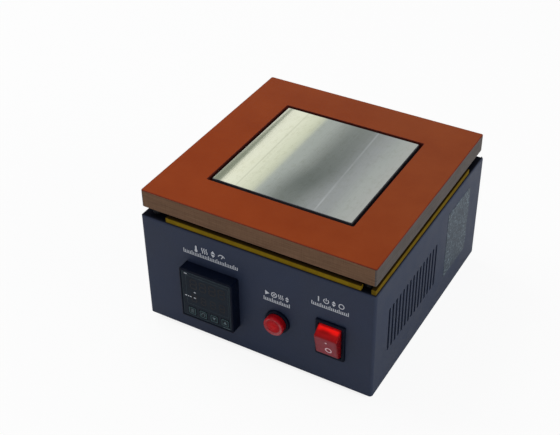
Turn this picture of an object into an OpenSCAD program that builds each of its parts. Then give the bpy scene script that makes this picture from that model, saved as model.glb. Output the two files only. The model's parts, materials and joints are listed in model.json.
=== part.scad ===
// Bench heating platform: a square hot plate set flush in an insulating board, on a folded
// steel case that holds a 48 x 48 temperature controller, a run light and a rocker switch.
// Millimetres. +Z is up, the front panel looks towards -Y, and the feet stand on Z = 0.

/* [Case] */
// Width of the case, side to side
case_w = 203; // [200:1:220]
// Depth of the case, front to back
case_d = 203; // [200:1:220]
// Height of the case walls
case_h = 100; // [98:1:112]
// Thickness of the folded sheet
sheet_t = 1.5; // [1.2:0.1:1.6]
// Outside radius of the bends
bend_r = 2.5; // [2:0.1:3.5]
// Width of the rims folded in at the top and the bottom
rim_w = 16; // [15:0.5:18]

/* [Vents] */
// Number of slots in each side wall
vent_count = 15; // [6:1:15]
// Distance from one slot to the next
vent_pitch = 6.15; // [5:0.05:6.2]
// Width of one slot
vent_slot_w = 3; // [1.5:0.1:3.2]
// Height of one slot
vent_slot_h = 42; // [25:1:48]
// Height of the middle of the slots above the case's bottom edge
vent_mid_z = 49; // [45:1:55]
// Distance from the front face to the first slot
vent_front = 25.5; // [22:0.5:30]

/* [Feet] */
// Height of the rubber feet
foot_h = 6; // [5.5:0.5:8]
// Radius of a foot at the floor
foot_r = 8; // [7:0.5:9]
// Distance of the feet from the middle, along X and Y
foot_at = 80; // [76:1:81]

/* [Top board] */
// Side of the square insulating board
board_side = 200; // [198:1:203]
// Thickness of the board
board_t = 15.5; // [15:0.5:18]
// Gap between the case and the board
board_gap = 7; // [6:0.5:9]
// Side of the square opening in the board
opening_side = 126.5; // [126:0.5:130]

/* [Heater] */
// Side of the square hot plate
plate_side = 121; // [118:0.5:122]
// Thickness of the hot plate
plate_t = 12; // [11:0.5:13]
// Thickness of the mica heating element
element_t = 3; // [2:0.5:4]
// Thickness of the plate that clamps the element
clamp_t = 2; // [1.5:0.5:3]
// Distance of the plate's four posts from the middle, along X and Y
post_at = 45; // [42:1:48]

/* [Controller] */
// Side of the square controller bezel
ctl_side = 48; // [47:0.5:49]
// How far the bezel stands out of the front panel
ctl_proud = 10.5; // [7:0.5:11]
// Place of the controller's middle along X
ctl_x = -37.5; // [-42:0.1:-34]
// Height of the controller's middle above the case's bottom edge
ctl_z = 45.5; // [42:0.1:50]
// Depth of the controller housing behind the panel
ctl_depth = 80; // [60:1:84]
// Distance from one key to the next
key_pitch = 10.1; // [9.5:0.1:10.2]
// Travel of a key
key_travel = 0.5; // [0.3:0.1:0.6]

/* [Run light] */
// Place of the run light along X
lamp_x = 20.8; // [12:0.1:26]
// Height of the run light above the case's bottom edge
lamp_z = 42; // [38:0.1:50]
// Radius of the red lens
lens_r = 8.5; // [7.5:0.1:9]
// How far the lens stands out of the front panel
lens_proud = 8; // [6:0.5:9]

/* [Rocker switch] */
// Place of the switch along X
switch_x = 66.1; // [62:0.1:70]
// Height of the switch above the case's bottom edge
switch_z = 43.5; // [40:0.1:50]
// Width of the switch frame
switch_w = 24.6; // [24:0.1:26.5]
// Height of the switch frame
switch_h = 34.2; // [32.2:0.1:34.5]
// How far the rocker is tipped from its middle position, in degrees
rocker_tip = 10.5; // [8:0.5:11]

/* [Power inlet] */
// Place of the inlet along X, on the rear panel
inlet_x = 50; // [40:1:58]
// Height of the inlet above the case's bottom edge
inlet_z = 34; // [28:1:44]

/* [Hidden] */

$fn = 48;
eps = 0.01;
half_w = case_w / 2;
half_d = case_d / 2;
rear_proud = 4.8;
// The origin is under the middle of the whole object, so the case sits a little behind it.
case_y = (ctl_proud - rear_proud) / 2;
board_z = case_h + board_gap;
board_top = board_z + board_t;
plate_z = board_top - plate_t;
element_z = plate_z - element_t;
clamp_z = element_z - clamp_t;
tray_t = 1.5;
tray_z = 80;
tray_top = tray_z + tray_t;
tray_x = 90;
tray_y = 62;
tray_lip = 13;
pillar_x = 80;
pillar_y = 50;
spacer_at = 91.5;
strip_w = 3.5;
strip_h = 4.7;
long_inset = 0.2;
side_inset = 1;
base_gap = 0.2;
m3_r = 1.5;
m4_r = 2;
m3_head_r = 2.8;
m4_head_r = 3.6;
screw_gap = 0.05;
pass_gap = 0.2;
mains_r = 1.3;
signal_r = 0.9;

paint = [0.20, 0.22, 0.28];
zinc = [0.72, 0.73, 0.74];
steel = [0.62, 0.63, 0.65];
brass = [0.78, 0.62, 0.30];
black = [0.07, 0.07, 0.08];
phenolic = [0.55, 0.23, 0.12];
mustard = [0.58, 0.48, 0.08];
ceramic_white = [0.90, 0.88, 0.82];
red = [0.85, 0.07, 0.08];

// Helpers

// Moves children from case coordinates, with Z = 0 at the case's bottom edge, to the part's frame.
module in_frame() {
    translate([0, case_y, foot_h]) children();
}

// Places children on the front panel at x, z; their +Z then points out of the panel.
module on_front(x, z, out = 0) {
    translate([x, -half_d - out, z]) rotate([90, 0, 0]) children();
}

// Places children on the rear panel at x, z; their +Z then points out of the panel.
module on_rear(x, z, out = 0) {
    translate([x, half_d + out, z]) rotate([90, 0, 180]) children();
}

module at_corners(x, y) {
    for (sx = [-1, 1], sy = [-1, 1]) translate([sx * x, sy * y, 0]) children();
}

module rounded_rect(w, h, r) {
    square([w - 2 * r, h], center = true);
    square([w, h - 2 * r], center = true);
    for (sx = [-1, 1], sy = [-1, 1])
        translate([sx * (w / 2 - r), sy * (h / 2 - r)]) circle(r);
}

module slot_2d(w, h) {
    square([w, h - w], center = true);
    for (s = [-1, 1]) translate([0, s * (h - w) / 2]) circle(w / 2, $fn = 24);
}

// A block on Z = 0 whose front edges are chamfered by c.
module chamfered_block(w, h, d, c) {
    hull() {
        linear_extrude(d - c) square([w, h], center = true);
        linear_extrude(d) square([w - 2 * c, h - 2 * c], center = true);
    }
}

// A pan-head screw whose head sits on Z = 0 and whose shank points down.
module screw(r, head_r, len) {
    head_h = head_r * 0.65;
    drive_r = head_r * 0.5;
    translate([0, 0, -len]) cylinder(r = r, h = len);
    difference() {
        union() {
            cylinder(r = head_r, h = head_h * 0.6);
            translate([0, 0, head_h * 0.6]) cylinder(r1 = head_r, r2 = head_r * 0.7, h = head_h * 0.4);
        }
        for (a = [0, 90])
            rotate(a) translate([0, 0, head_h]) cube([drive_r * 2, drive_r * 0.4, head_h], center = true);
    }
}

// A hexagon nut on Z = 0.
module nut(r, across, h) {
    difference() {
        cylinder(r = across / sqrt(3), h = h, $fn = 6);
        translate([0, 0, -eps]) cylinder(r = r + screw_gap, h = h + 2 * eps);
    }
}

// Case

// Plan of the sheet that wraps round the front and both sides.
module wrap_outline(inset) {
    r = bend_r - inset;
    w = case_w - 2 * inset;
    rounded_rect(w, case_d - 2 * inset, r);
    translate([-w / 2, 0]) square([w, half_d]);
}

module wrap_plan() {
    difference() {
        wrap_outline(0);
        wrap_outline(sheet_t);
    }
}

// Plan of the rim along the front and both sides, slit where the front rim meets a side rim.
module rim_plan() {
    slit_w = 0.6;
    relief_r = 1.2;
    difference() {
        wrap_outline(sheet_t / 2);
        square([case_w - 2 * rim_w, case_d - 2 * rim_w], center = true);
        translate([rim_w - half_w, 0]) square([case_w - 2 * rim_w, case_d]);
        translate([-case_w, half_d - 2 * sheet_t]) square([2 * case_w, case_d]);
        for (sx = [-1, 1]) {
            translate([sx * (half_w - rim_w / 2 - sheet_t), rim_w - half_d])
                square([rim_w, slit_w], center = true);
            translate([sx * (half_w - sheet_t - relief_r), rim_w - half_d]) circle(relief_r);
        }
    }
}

// Takes the bend radius off a top edge along X; the solid lies towards +Y and -Z of the edge.
module edge_round(len) {
    rotate([90, 0, 90]) linear_extrude(len, center = true) difference() {
        translate([-eps, -bend_r]) square(bend_r + eps);
        translate([bend_r, -bend_r]) circle(bend_r);
    }
}

module vents() {
    for (i = [0 : vent_count - 1])
        translate([0, -half_d + vent_front + i * vent_pitch, vent_mid_z])
            rotate([90, 0, 90]) linear_extrude(2 * case_w, center = true)
                slot_2d(vent_slot_w, vent_slot_h);
}

// Places of the screws that join the base plate to the rims.
base_screw_places = [
    for (s = [-1, 1]) each [[s * 93, -40], [s * 93, 40], [s * 60, -93], [s * 60, 93]]
];
rear_screw_places = [for (sx = [-1, 1], z = [15, 85]) [sx * 94, z]];

ctl_cutout = 45.2;
lamp_hole_r = 8.15;
switch_cut_w = 22.2;
switch_cut_h = 30.4;

module case_shell() {
    flange_w = 12;
    flange_z = sheet_t * 2;
    color(paint) in_frame() difference() {
        union() {
            linear_extrude(case_h) wrap_plan();
            for (z = [sheet_t, case_h - sheet_t])
                translate([0, 0, z]) linear_extrude(sheet_t) rim_plan();
            for (sx = [-1, 1])
                translate([sx * (half_w - flange_w / 2), half_d - 1.5 * sheet_t, case_h / 2])
                    cube([flange_w, sheet_t, case_h - 2 * flange_z + sheet_t], center = true);
        }
        translate([0, -half_d, case_h]) edge_round(case_w);
        for (a = [-90, 90]) rotate(a) translate([0, -half_w, case_h]) edge_round(2 * case_d);
        vents();
        on_front(ctl_x, ctl_z) cube([ctl_cutout, ctl_cutout, 8], center = true);
        on_front(lamp_x, lamp_z) cylinder(r = lamp_hole_r, h = 8, center = true);
        on_front(switch_x, switch_z) cube([switch_cut_w, switch_cut_h, 8], center = true);
        at_corners(spacer_at, spacer_at)
            translate([0, 0, case_h - 4]) cylinder(r = m4_r + pass_gap, h = 8);
        for (p = base_screw_places) translate([p.x, p.y, -eps]) cylinder(r = m3_r + screw_gap, h = 8);
        for (p = rear_screw_places)
            on_rear(p[0], p[1]) cylinder(r = m3_r + screw_gap, h = 12, center = true);
    }
}

relay_at = [-38, 52];
relay_plate_t = 3;
block_at = [22, 58];
earth_at = [77, 64];

module base_plate() {
    slot_rows = [-56, -12];
    slots = 9;
    slot_pitch = 8;
    inset = sheet_t + base_gap;
    color(zinc) in_frame() difference() {
        linear_extrude(sheet_t) rounded_rect(case_w - 2 * inset, case_d - 2 * inset, bend_r);
        translate([0, 0, -eps]) linear_extrude(sheet_t + 2 * eps) {
            for (y = slot_rows, i = [0 : slots - 1])
                translate([(i - (slots - 1) / 2) * slot_pitch + 18, y]) slot_2d(3, 30);
            for (p = base_screw_places) translate(p) circle(m3_r + pass_gap);
            for (sx = [-1, 1], sy = [-1, 1]) {
                translate([sx * foot_at, sy * foot_at]) circle(m4_r + pass_gap);
                translate([sx * pillar_x, sy * pillar_y]) circle(m4_r + pass_gap);
            }
            for (s = [-1, 1]) translate([relay_at.x + s * 24, relay_at.y]) circle(m4_r + screw_gap);
            translate(block_at) circle(m3_r + screw_gap);
            translate(earth_at) circle(m4_r + screw_gap);
        }
    }
}

inlet_cut_w = 28;
inlet_cut_h = 31;
inlet_screw_at = 20;

module rear_panel() {
    panel_w = case_w - 2 * (sheet_t + base_gap);
    panel_rim_w = case_w - 2 * rim_w - 0.6;
    rim_len = rim_w - sheet_t / 2;
    slots = 11;
    color(paint) in_frame() difference() {
        union() {
            translate([0, half_d - sheet_t / 2, case_h / 2])
                cube([panel_w, sheet_t, case_h], center = true);
            for (z = [sheet_t, case_h - sheet_t])
                translate([-panel_rim_w / 2, half_d - rim_w, z]) cube([panel_rim_w, rim_len, sheet_t]);
        }
        rotate(180) translate([0, -half_d, case_h]) edge_round(case_w);
        for (i = [0 : slots - 1])
            on_rear(-78 + i * vent_pitch, vent_mid_z)
                linear_extrude(8, center = true) slot_2d(vent_slot_w, vent_slot_h);
        on_rear(inlet_x, inlet_z) cube([inlet_cut_w, inlet_cut_h, 8], center = true);
        for (s = [-1, 1])
            on_rear(inlet_x + s * inlet_screw_at, inlet_z)
                cylinder(r = m3_r + screw_gap, h = 8, center = true);
        for (p = rear_screw_places)
            on_rear(p[0], p[1]) cylinder(r = m3_r + pass_gap, h = 8, center = true);
        for (p = base_screw_places) translate([p.x, p.y, -eps]) cylinder(r = m3_r + screw_gap, h = 8);
    }
}

// Eight screws hold the base plate to the rims, and four hold the rear panel.
module case_screws() {
    len = 7;
    color(zinc) in_frame() {
        for (p = base_screw_places)
            translate([p.x, p.y, 0]) rotate([180, 0, 0]) screw(m3_r, m3_head_r, len);
        for (p = rear_screw_places) on_rear(p[0], p[1]) screw(m3_r, m3_head_r, len);
    }
}

// Feet

foot_recess = 3.2;

module rubber_feet() {
    color(black) in_frame() at_corners(foot_at, foot_at) rotate([180, 0, 0]) difference() {
        rotate_extrude() polygon([
            [0, 0], [foot_r + 1, 0], [foot_r + 1, 1.2], [foot_r, foot_h - 0.8],
            [foot_r - 0.8, foot_h], [0, foot_h]
        ]);
        translate([0, 0, -eps]) cylinder(r = m4_r + screw_gap, h = foot_h + 2 * eps);
        translate([0, 0, foot_h - foot_recess]) cylinder(r = m4_head_r + 0.8, h = foot_h);
    }
}

module foot_screws() {
    color(zinc) in_frame() at_corners(foot_at, foot_at)
        translate([0, 0, foot_recess - foot_h]) rotate([180, 0, 0]) screw(m4_r, m4_head_r, 10);
}

module foot_nuts() {
    color(zinc) in_frame() at_corners(foot_at, foot_at) translate([0, 0, sheet_t]) nut(m4_r, 7, 3.2);
}

// Insulating strips

// A strip lying on the rim from x0 to x1 along the front edge, before it is turned to its side.
module strip(x0, x1, inset) {
    translate([x0, inset + strip_w / 2 - half_d, case_h + strip_h / 2])
        rotate([90, 0, 90]) linear_extrude(x1 - x0) rounded_rect(strip_w, strip_h, 0.5);
}

strip_near = half_w - 23.9;
strip_far = half_w - 12.6;
side_strip_end = half_d - 29.5;

module front_strip() {
    color(mustard) in_frame() strip(-strip_near, strip_far, long_inset);
}

module rear_strip() {
    color(mustard) in_frame() rotate(180) strip(-strip_near, strip_far, long_inset);
}

module right_strip() {
    color(mustard) in_frame() rotate(90) strip(-half_d + 0.5, side_strip_end, side_inset);
}

module left_strip() {
    color(mustard) in_frame() rotate(-90) strip(-half_d + 0.5, side_strip_end, side_inset);
}

// Top board and its fixings

board_hole_depth = 10;

module top_board() {
    color(phenolic) in_frame() difference() {
        translate([0, 0, board_z]) linear_extrude(board_t) difference() {
            rounded_rect(board_side, board_side, 1);
            square(opening_side, center = true);
        }
        at_corners(spacer_at, spacer_at)
            translate([0, 0, board_z - eps]) cylinder(r = m4_r + screw_gap, h = board_hole_depth);
    }
}

module board_spacers() {
    color(black) in_frame() at_corners(spacer_at, spacer_at) translate([0, 0, case_h]) difference() {
        cylinder(r = 4, h = board_gap);
        translate([0, 0, -eps]) cylinder(r = m4_r + pass_gap, h = board_gap + 2 * eps);
    }
}

module board_screws() {
    reach = sheet_t + board_gap + board_hole_depth - 1;
    color(zinc) in_frame() at_corners(spacer_at, spacer_at)
        translate([0, 0, case_h - sheet_t]) rotate([180, 0, 0]) screw(m4_r, m4_head_r, reach);
}

// Heating stack

clamp_screw_places = [[0, post_at], [0, -post_at], [post_at, 0], [-post_at, 0]];
stud_depth = 8;
probe_r = 2;
probe_depth = 6;
sleeve_r = 2.6;

module hot_plate() {
    edge = 0.5;
    color(steel) in_frame() difference() {
        translate([0, 0, plate_z]) chamfered_block(plate_side, plate_side, plate_t, edge);
        at_corners(post_at, post_at)
            translate([0, 0, plate_z - eps]) cylinder(r = m4_r + screw_gap, h = stud_depth);
        for (p = clamp_screw_places)
            translate([p.x, p.y, plate_z - eps]) cylinder(r = m3_r + screw_gap, h = 6);
        translate([0, 0, plate_z - eps]) cylinder(r = probe_r + 0.1, h = probe_depth);
    }
}

module stack_holes() {
    for (sx = [-1, 1], sy = [-1, 1]) translate([sx * post_at, sy * post_at]) circle(m4_r + pass_gap);
    for (p = clamp_screw_places) translate(p) circle(m3_r + pass_gap);
    circle(probe_r + 0.5);
}

tab_x = 14;
tab_low = 94;
tab_w = 6;
tab_t = 0.8;
tab_reach = 3.5;
element_side = plate_side - 4;
tab_y = element_side / 2 + tab_reach - tab_t / 2;

module heating_element() {
    tab_z = element_z + 1;
    color([0.70, 0.66, 0.55]) in_frame() {
        translate([0, 0, element_z]) linear_extrude(element_t) difference() {
            square(element_side, center = true);
            stack_holes();
        }
        for (sx = [-1, 1]) translate([sx * tab_x - tab_w / 2, element_side / 2, 0]) {
            translate([0, -eps, tab_z]) cube([tab_w, tab_reach + eps, tab_t]);
            translate([0, tab_reach - tab_t, tab_low]) cube([tab_w, tab_t, tab_z + tab_t - tab_low]);
        }
    }
}

module clamp_plate() {
    color(zinc) in_frame() translate([0, 0, clamp_z]) linear_extrude(clamp_t) difference() {
        square(element_side, center = true);
        stack_holes();
    }
}

module clamp_screws() {
    color(zinc) in_frame() for (p = clamp_screw_places)
        translate([p.x, p.y, clamp_z]) rotate([180, 0, 0]) screw(m3_r, m3_head_r, clamp_t + element_t + 5);
}

module ceramic_posts() {
    post_r = 6;
    post_h = clamp_z - tray_top;
    waist = 0.8;
    color(ceramic_white) in_frame() at_corners(post_at, post_at) translate([0, 0, tray_top]) difference() {
        rotate_extrude() polygon([
            [0, 0], [post_r, 0], [post_r, post_h * 0.2], [post_r - waist, post_h * 0.3],
            [post_r - waist, post_h * 0.7], [post_r, post_h * 0.8], [post_r, post_h], [0, post_h]
        ]);
        translate([0, 0, -eps]) cylinder(r = m4_r + pass_gap, h = post_h + 2 * eps);
    }
}

stud_low = tray_z - 5.5;

module plate_studs() {
    color(zinc) in_frame() at_corners(post_at, post_at)
        translate([0, 0, stud_low]) cylinder(r = m4_r, h = plate_z + stud_depth - 1 - stud_low);
}

module stud_nuts() {
    color(zinc) in_frame() at_corners(post_at, post_at) translate([0, 0, tray_z - 3.2]) nut(m4_r, 7, 3.2);
}

// The lips of the tray are cut away where the heater leads pass.
lead_notch_w = 12;

module support_tray() {
    color(zinc) in_frame() difference() {
        union() {
            translate([-tray_x, -tray_y, tray_z]) cube([2 * tray_x, 2 * tray_y, tray_t]);
            for (sy = [-1, 1])
                translate([-tray_x + 12, sy * (tray_y - tray_t / 2) - tray_t / 2, tray_z])
                    cube([2 * tray_x - 24, tray_t, tray_lip]);
        }
        translate([0, 0, tray_z - eps]) linear_extrude(tray_t + 2 * eps) {
            for (sx = [-1, 1], sy = [-1, 1]) {
                translate([sx * post_at, sy * post_at]) circle(m4_r + pass_gap);
                translate([sx * pillar_x, sy * pillar_y]) circle(m4_r + pass_gap);
            }
            circle(sleeve_r + 0.4);
        }
        for (sx = [-1, 1]) translate([sx * tab_x, tray_y, tray_top + tray_lip])
            cube([lead_notch_w, 4 * tray_t, 2 * tray_lip], center = true);
    }
}

module insulation_pad() {
    pad_t = 20;
    color([0.93, 0.92, 0.88]) in_frame() translate([0, 0, tray_top]) linear_extrude(pad_t) difference() {
        rounded_rect(116, 2 * tray_y - 8, 4);
        for (sx = [-1, 1], sy = [-1, 1]) translate([sx * post_at, sy * post_at]) circle(6.3);
        circle(sleeve_r + 3.2);
    }
}

module tray_pillars() {
    pillar_h = tray_z - sheet_t;
    color(brass) in_frame() at_corners(pillar_x, pillar_y) translate([0, 0, sheet_t]) difference() {
        cylinder(r = 8 / sqrt(3), h = pillar_h, $fn = 6);
        for (z = [-eps, pillar_h - 11]) translate([0, 0, z]) cylinder(r = m4_r + screw_gap, h = 11 + eps);
    }
}

module pillar_screws() {
    color(zinc) in_frame() at_corners(pillar_x, pillar_y) {
        rotate([180, 0, 0]) screw(m4_r, m4_head_r, 10);
        translate([0, 0, tray_top]) screw(m4_r, m4_head_r, 10);
    }
}

module thermocouple() {
    hex_h = 5;
    sleeve_low = tray_z - 8;
    color(steel) in_frame() {
        translate([0, 0, clamp_z]) cylinder(r = probe_r, h = plate_z + probe_depth - 0.5 - clamp_z);
        translate([0, 0, clamp_z - hex_h]) cylinder(r = 5, h = hex_h, $fn = 6);
        translate([0, 0, sleeve_low]) cylinder(r = sleeve_r, h = clamp_z - hex_h - sleeve_low);
    }
}

// Temperature controller

plate_recess = 0.5;
face_side = 44.4;
face_t = 1.2;
ctl_body = 44.8;
ctl_wall = 1.2;
board_out = 2.4;
key_w = 6.8;
key_h = 7;
key_dx = 1.4;
key_dz = -16.1;
key_clear = 0.3;
key_proud = 0.3;

// Place of key i along X from the controller's middle; the row of keys lies a little to the right.
function key_x(i) = key_dx + (i - 2.5) * key_pitch;

// Moves children to the middle of the controller's face, at a height out of the front panel.
module on_controller(out = 0) {
    on_front(ctl_x, ctl_z, out) children();
}

// The ledge that carries the faceplate is left out below, where the keys need the room.
module controller_bezel() {
    inner = ctl_body - 2 * ctl_wall;
    seat = face_side + 0.1;
    way_h = (inner + seat) / 2;
    color(black) in_frame() on_controller() difference() {
        chamfered_block(ctl_side, ctl_side, ctl_proud, 0.6);
        translate([-inner / 2, -seat / 2, -eps]) linear_extrude(ctl_proud) square([inner, way_h]);
        translate([0, 0, ctl_proud - plate_recess - face_t])
            linear_extrude(ctl_proud) square(seat, center = true);
    }
}

// The housing is closed and stays solid behind the display's space.
module controller_case() {
    grooves = 6;
    color(black) in_frame() on_controller() difference() {
        translate([0, 0, -ctl_depth]) linear_extrude(ctl_depth) rounded_rect(ctl_body, ctl_body, 1);
        for (s = [-1, 1], i = [0 : grooves - 1])
            translate([0, s * ctl_body / 2, -ctl_depth + 8 + i * 8]) cube([24, 1.2, 3], center = true);
    }
}

module controller_faceplate() {
    color([0.05, 0.07, 0.07]) in_frame() on_controller(ctl_proud - plate_recess - face_t)
        linear_extrude(face_t) difference() {
            square(face_side, center = true);
            for (i = [1 : 4]) translate([key_x(i), key_dz])
                square([key_w + 2 * key_clear, key_h + 2 * key_clear], center = true);
        }
}

// The printed board lies on the housing's front, with two digit blocks and four contact switches.
module display_board() {
    pcb_t = 1.6;
    digit_h = ctl_proud - plate_recess - face_t - pcb_t;
    color([0.05, 0.25, 0.12]) in_frame() on_controller() {
        linear_extrude(pcb_t) square(40, center = true);
        for (z = [12.5, -2.5])
            translate([0, z, pcb_t - eps]) linear_extrude(digit_h + eps) square([34, 11], center = true);
        for (i = [1 : 4]) translate([key_x(i), key_dz + 1.6, pcb_t - eps]) {
            linear_extrude(2) square(4.5, center = true);
            cylinder(r = 1.2, h = board_out + eps);
        }
    }
}

// One key: a cap through the faceplate, a flange behind it, and a stem to its contact.
module key(i) {
    back = ctl_proud - plate_recess - face_t;
    cap_top = ctl_proud - plate_recess + key_proud;
    flange_t = 1;
    flange_gap = 0.3;
    stem_low = 1.6 + board_out + key_travel + 0.3;
    color([0.09, 0.11, 0.11]) in_frame() on_controller() translate([key_x(i), key_dz, 0]) {
        translate([0, 0, back - flange_gap - eps])
            linear_extrude(cap_top - back + flange_gap + eps) rounded_rect(key_w, key_h, 0.6);
        translate([0, 0.4, back - flange_gap - flange_t])
            linear_extrude(flange_t) square([key_w + 1.2, key_h + 0.6], center = true);
        translate([0, 1.6, stem_low]) cylinder(r = 1.4, h = back - flange_gap - stem_low);
    }
}

module key_1() { key(1); }
module key_2() { key(2); }
module key_3() { key(3); }
module key_4() { key(4); }

// Clamping frame that slides up the housing and grips the panel from behind.
module controller_clip() {
    clip_d = 9;
    color([0.12, 0.12, 0.13]) in_frame() on_controller(-sheet_t - clip_d) {
        linear_extrude(clip_d) difference() {
            rounded_rect(ctl_body + 5, ctl_body + 5, 2);
            square(ctl_body + 0.1, center = true);
        }
    }
}

module controller_terminals() {
    rows = 5;
    pitch = 8;
    color([0.10, 0.13, 0.11]) in_frame() on_controller(-ctl_depth) rotate([180, 0, 0]) difference() {
        linear_extrude(9) rounded_rect(42, 42, 1);
        for (s = [-1, 1], i = [0 : rows - 1]) translate([s * 14, (i - (rows - 1) / 2) * pitch, 4]) {
            cylinder(r = 2.9, h = 9);
            translate([s * 6, 0, 3]) cube([10, 5.6, 8], center = true);
        }
    }
}

// Run light

lamp_rim_r = 10.4;
lamp_rim_t = 2.6;
lamp_body_r = 8;
lamp_body_len = 26;
lamp_tail_len = 4;
lamp_low = -lamp_body_len - lamp_tail_len;
lamp_tab_x = 3;
lamp_tab = [0.8, 2.8];
lens_seat_r = 7;
lens_seat = 4;

module run_light_lens() {
    dome = 0.9;
    color(red) in_frame() on_front(lamp_x, lamp_z) {
        translate([0, 0, lamp_rim_t - lens_seat]) cylinder(r = lens_seat_r, h = lens_seat + eps);
        rotate_extrude() polygon([
            [0, lamp_rim_t], [lens_r, lamp_rim_t], [lens_r, lens_proud - dome],
            [lens_r - dome, lens_proud], [lens_r - 1.8, lens_proud],
            [lens_r - 2, lens_proud - 0.25], [0, lens_proud - 0.25]
        ]);
    }
}

module run_light_body() {
    tail_r = 6.2;
    tab_len = 7;
    color(black) in_frame() on_front(lamp_x, lamp_z) {
        difference() {
            union() {
                rotate_extrude() polygon([
                    [0, 0], [lamp_rim_r, 0], [lamp_rim_r, lamp_rim_t - 0.9],
                    [lamp_rim_r - 0.9, lamp_rim_t], [0, lamp_rim_t]
                ]);
                translate([0, 0, -lamp_body_len]) cylinder(r = lamp_body_r, h = lamp_body_len + eps);
            }
            translate([0, 0, lamp_rim_t - lens_seat]) cylinder(r = lens_seat_r + 0.05, h = lens_seat + 1);
        }
        translate([0, 0, lamp_low]) cylinder(r = tail_r, h = lamp_tail_len + eps);
        for (s = [-1, 1]) translate([s * lamp_tab_x, 0, lamp_low - tab_len])
            linear_extrude(tab_len + eps) square(lamp_tab, center = true);
    }
}

module run_light_nut() {
    color(black) in_frame() on_front(lamp_x, lamp_z, -sheet_t - 4.5) nut(lamp_body_r, 20, 4.5);
}

// Rocker switch

switch_body_w = 21.9;
switch_body_h = 30;
switch_rim_t = 2;
switch_depth = 24;
well_w = 19.4;
well_h = 28.8;
pivot_in = 3;
well_depth = 10.5;
rocker_r = 14.05;
rocker_w = 18.8;
ridge = [13.9, 5.05];
upper_angle = 57;
lower_angle = 62.5;
skirt_angle = 106.5;
trunnion_r = 1.4;
trunnion_len = 0.6;
switch_tab_at = [5, 7];
switch_tab = [0.8, 6.3];

module switch_body() {
    color(black) in_frame() on_front(switch_x, switch_z) difference() {
        union() {
            chamfered_block(switch_w, switch_h, switch_rim_t, 0.6);
            translate([0, 0, -switch_depth])
                linear_extrude(switch_depth + eps) square([switch_body_w, switch_body_h], center = true);
            for (s = [0, 1]) mirror([0, s, 0]) translate([0, switch_body_h / 2, -sheet_t - 0.2])
                rotate([90, 0, 90]) linear_extrude(8, center = true)
                    polygon([[-0.3, -5], [0, -5], [0.9, 0], [-0.3, 0]]);
        }
        translate([0, 0, -well_depth]) linear_extrude(20) square([well_w, well_h], center = true);
        translate([0, 0, -pivot_in]) rotate([0, 90, 0])
            cylinder(r = trunnion_r + screw_gap, h = rocker_w + 2 * trunnion_len + 0.1, center = true);
    }
}

// The corner b between a and c, softened over the length s along both sides.
function soft_corner(a, b, c, s) = let (
    p = b + s * (a - b) / norm(a - b),
    q = b + s * (c - b) / norm(c - b)
) [for (t = [0 : 0.25 : 1]) (1 - t) * (1 - t) * p + 2 * t * (1 - t) * b + t * t * q];

// Points on the rocker's circle from one angle to another.
function skirt_points(from, to, steps = 10) = [
    for (i = [0 : steps]) let (a = from + (to - from) * i / steps) rocker_r * [cos(a), sin(a)]
];

// Side view of the rocker about its pivot, in its middle position: x is outward and y is up.
// Two flat faces meet in a ridge above the middle; behind them the skirts follow a circle.
module rocker_profile() {
    upper = skirt_points(upper_angle, skirt_angle);
    lower = skirt_points(-skirt_angle, -lower_angle);
    low_end = lower[len(lower) - 1];
    back = [[-4, 8], [-1.5, 3], [-3, 1.6], [-3, -1.6], [-1.5, -3], [-4, -8]];
    polygon(concat(soft_corner(low_end, ridge, upper[0], 1.2), upper, back, lower));
}

// At rest the upper half is pressed in, as a switch left on.
module rocker() {
    color(red) in_frame() translate([switch_x, pivot_in - half_d, switch_z]) {
        rotate([90, 0, -90]) rotate(rocker_tip) linear_extrude(rocker_w, center = true) rocker_profile();
        rotate([0, 90, 0]) cylinder(r = trunnion_r, h = rocker_w + 2 * trunnion_len, center = true);
    }
}

module switch_terminals() {
    tab_len = 8;
    color(brass) in_frame() on_front(switch_x, switch_z, -switch_depth)
        at_corners(switch_tab_at.x, switch_tab_at.y)
            translate([0, 0, -tab_len]) linear_extrude(tab_len) square(switch_tab, center = true);
}

// Power inlet and fuse drawer

inlet_w = 50;
inlet_h = 33;
inlet_t = 3.2;
inlet_body_w = 27.6;
inlet_body_h = 30.6;
inlet_depth = 24;
socket_w = 24.2;
socket_h = 16.4;
socket_dz = -5.8;
socket_depth = 15.5;
drawer_w = 22.4;
drawer_h = 8.4;
drawer_dz = 9;
drawer_len = 24;
pin_len = 12;
pin = [2, 4];
pin_places = [[-7, -2], [7, -2], [0, 2]];

// Outline of the socket: a rectangle with its two lower corners cut.
module socket_outline() {
    cut = 5;
    w = socket_w / 2;
    h = socket_h / 2;
    polygon([[-w, h], [w, h], [w, cut - h], [w - cut, -h], [cut - w, -h], [-w, cut - h]]);
}

module inlet_body() {
    color(black) in_frame() on_rear(inlet_x, inlet_z) difference() {
        union() {
            linear_extrude(inlet_t) rounded_rect(inlet_w, inlet_h, 5);
            translate([0, 0, -inlet_depth])
                linear_extrude(inlet_depth + eps) rounded_rect(inlet_body_w, inlet_body_h, 1);
        }
        translate([0, socket_dz, inlet_t - socket_depth]) linear_extrude(20) socket_outline();
        translate([0, drawer_dz, inlet_t - drawer_len - 0.3])
            linear_extrude(40) square([drawer_w + 0.6, drawer_h + 0.6], center = true);
        for (p = pin_places) translate([p.x, socket_dz + p.y, -inlet_depth - 1])
            linear_extrude(40) square([pin.x + 0.1, pin.y + 0.1], center = true);
        for (s = [-1, 1]) translate([s * inlet_screw_at, 0, -eps]) {
            cylinder(r = m3_r + pass_gap, h = 8);
            translate([0, 0, inlet_t - 1.6]) cylinder(r = m3_head_r + pass_gap, h = 8);
        }
    }
}

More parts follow.
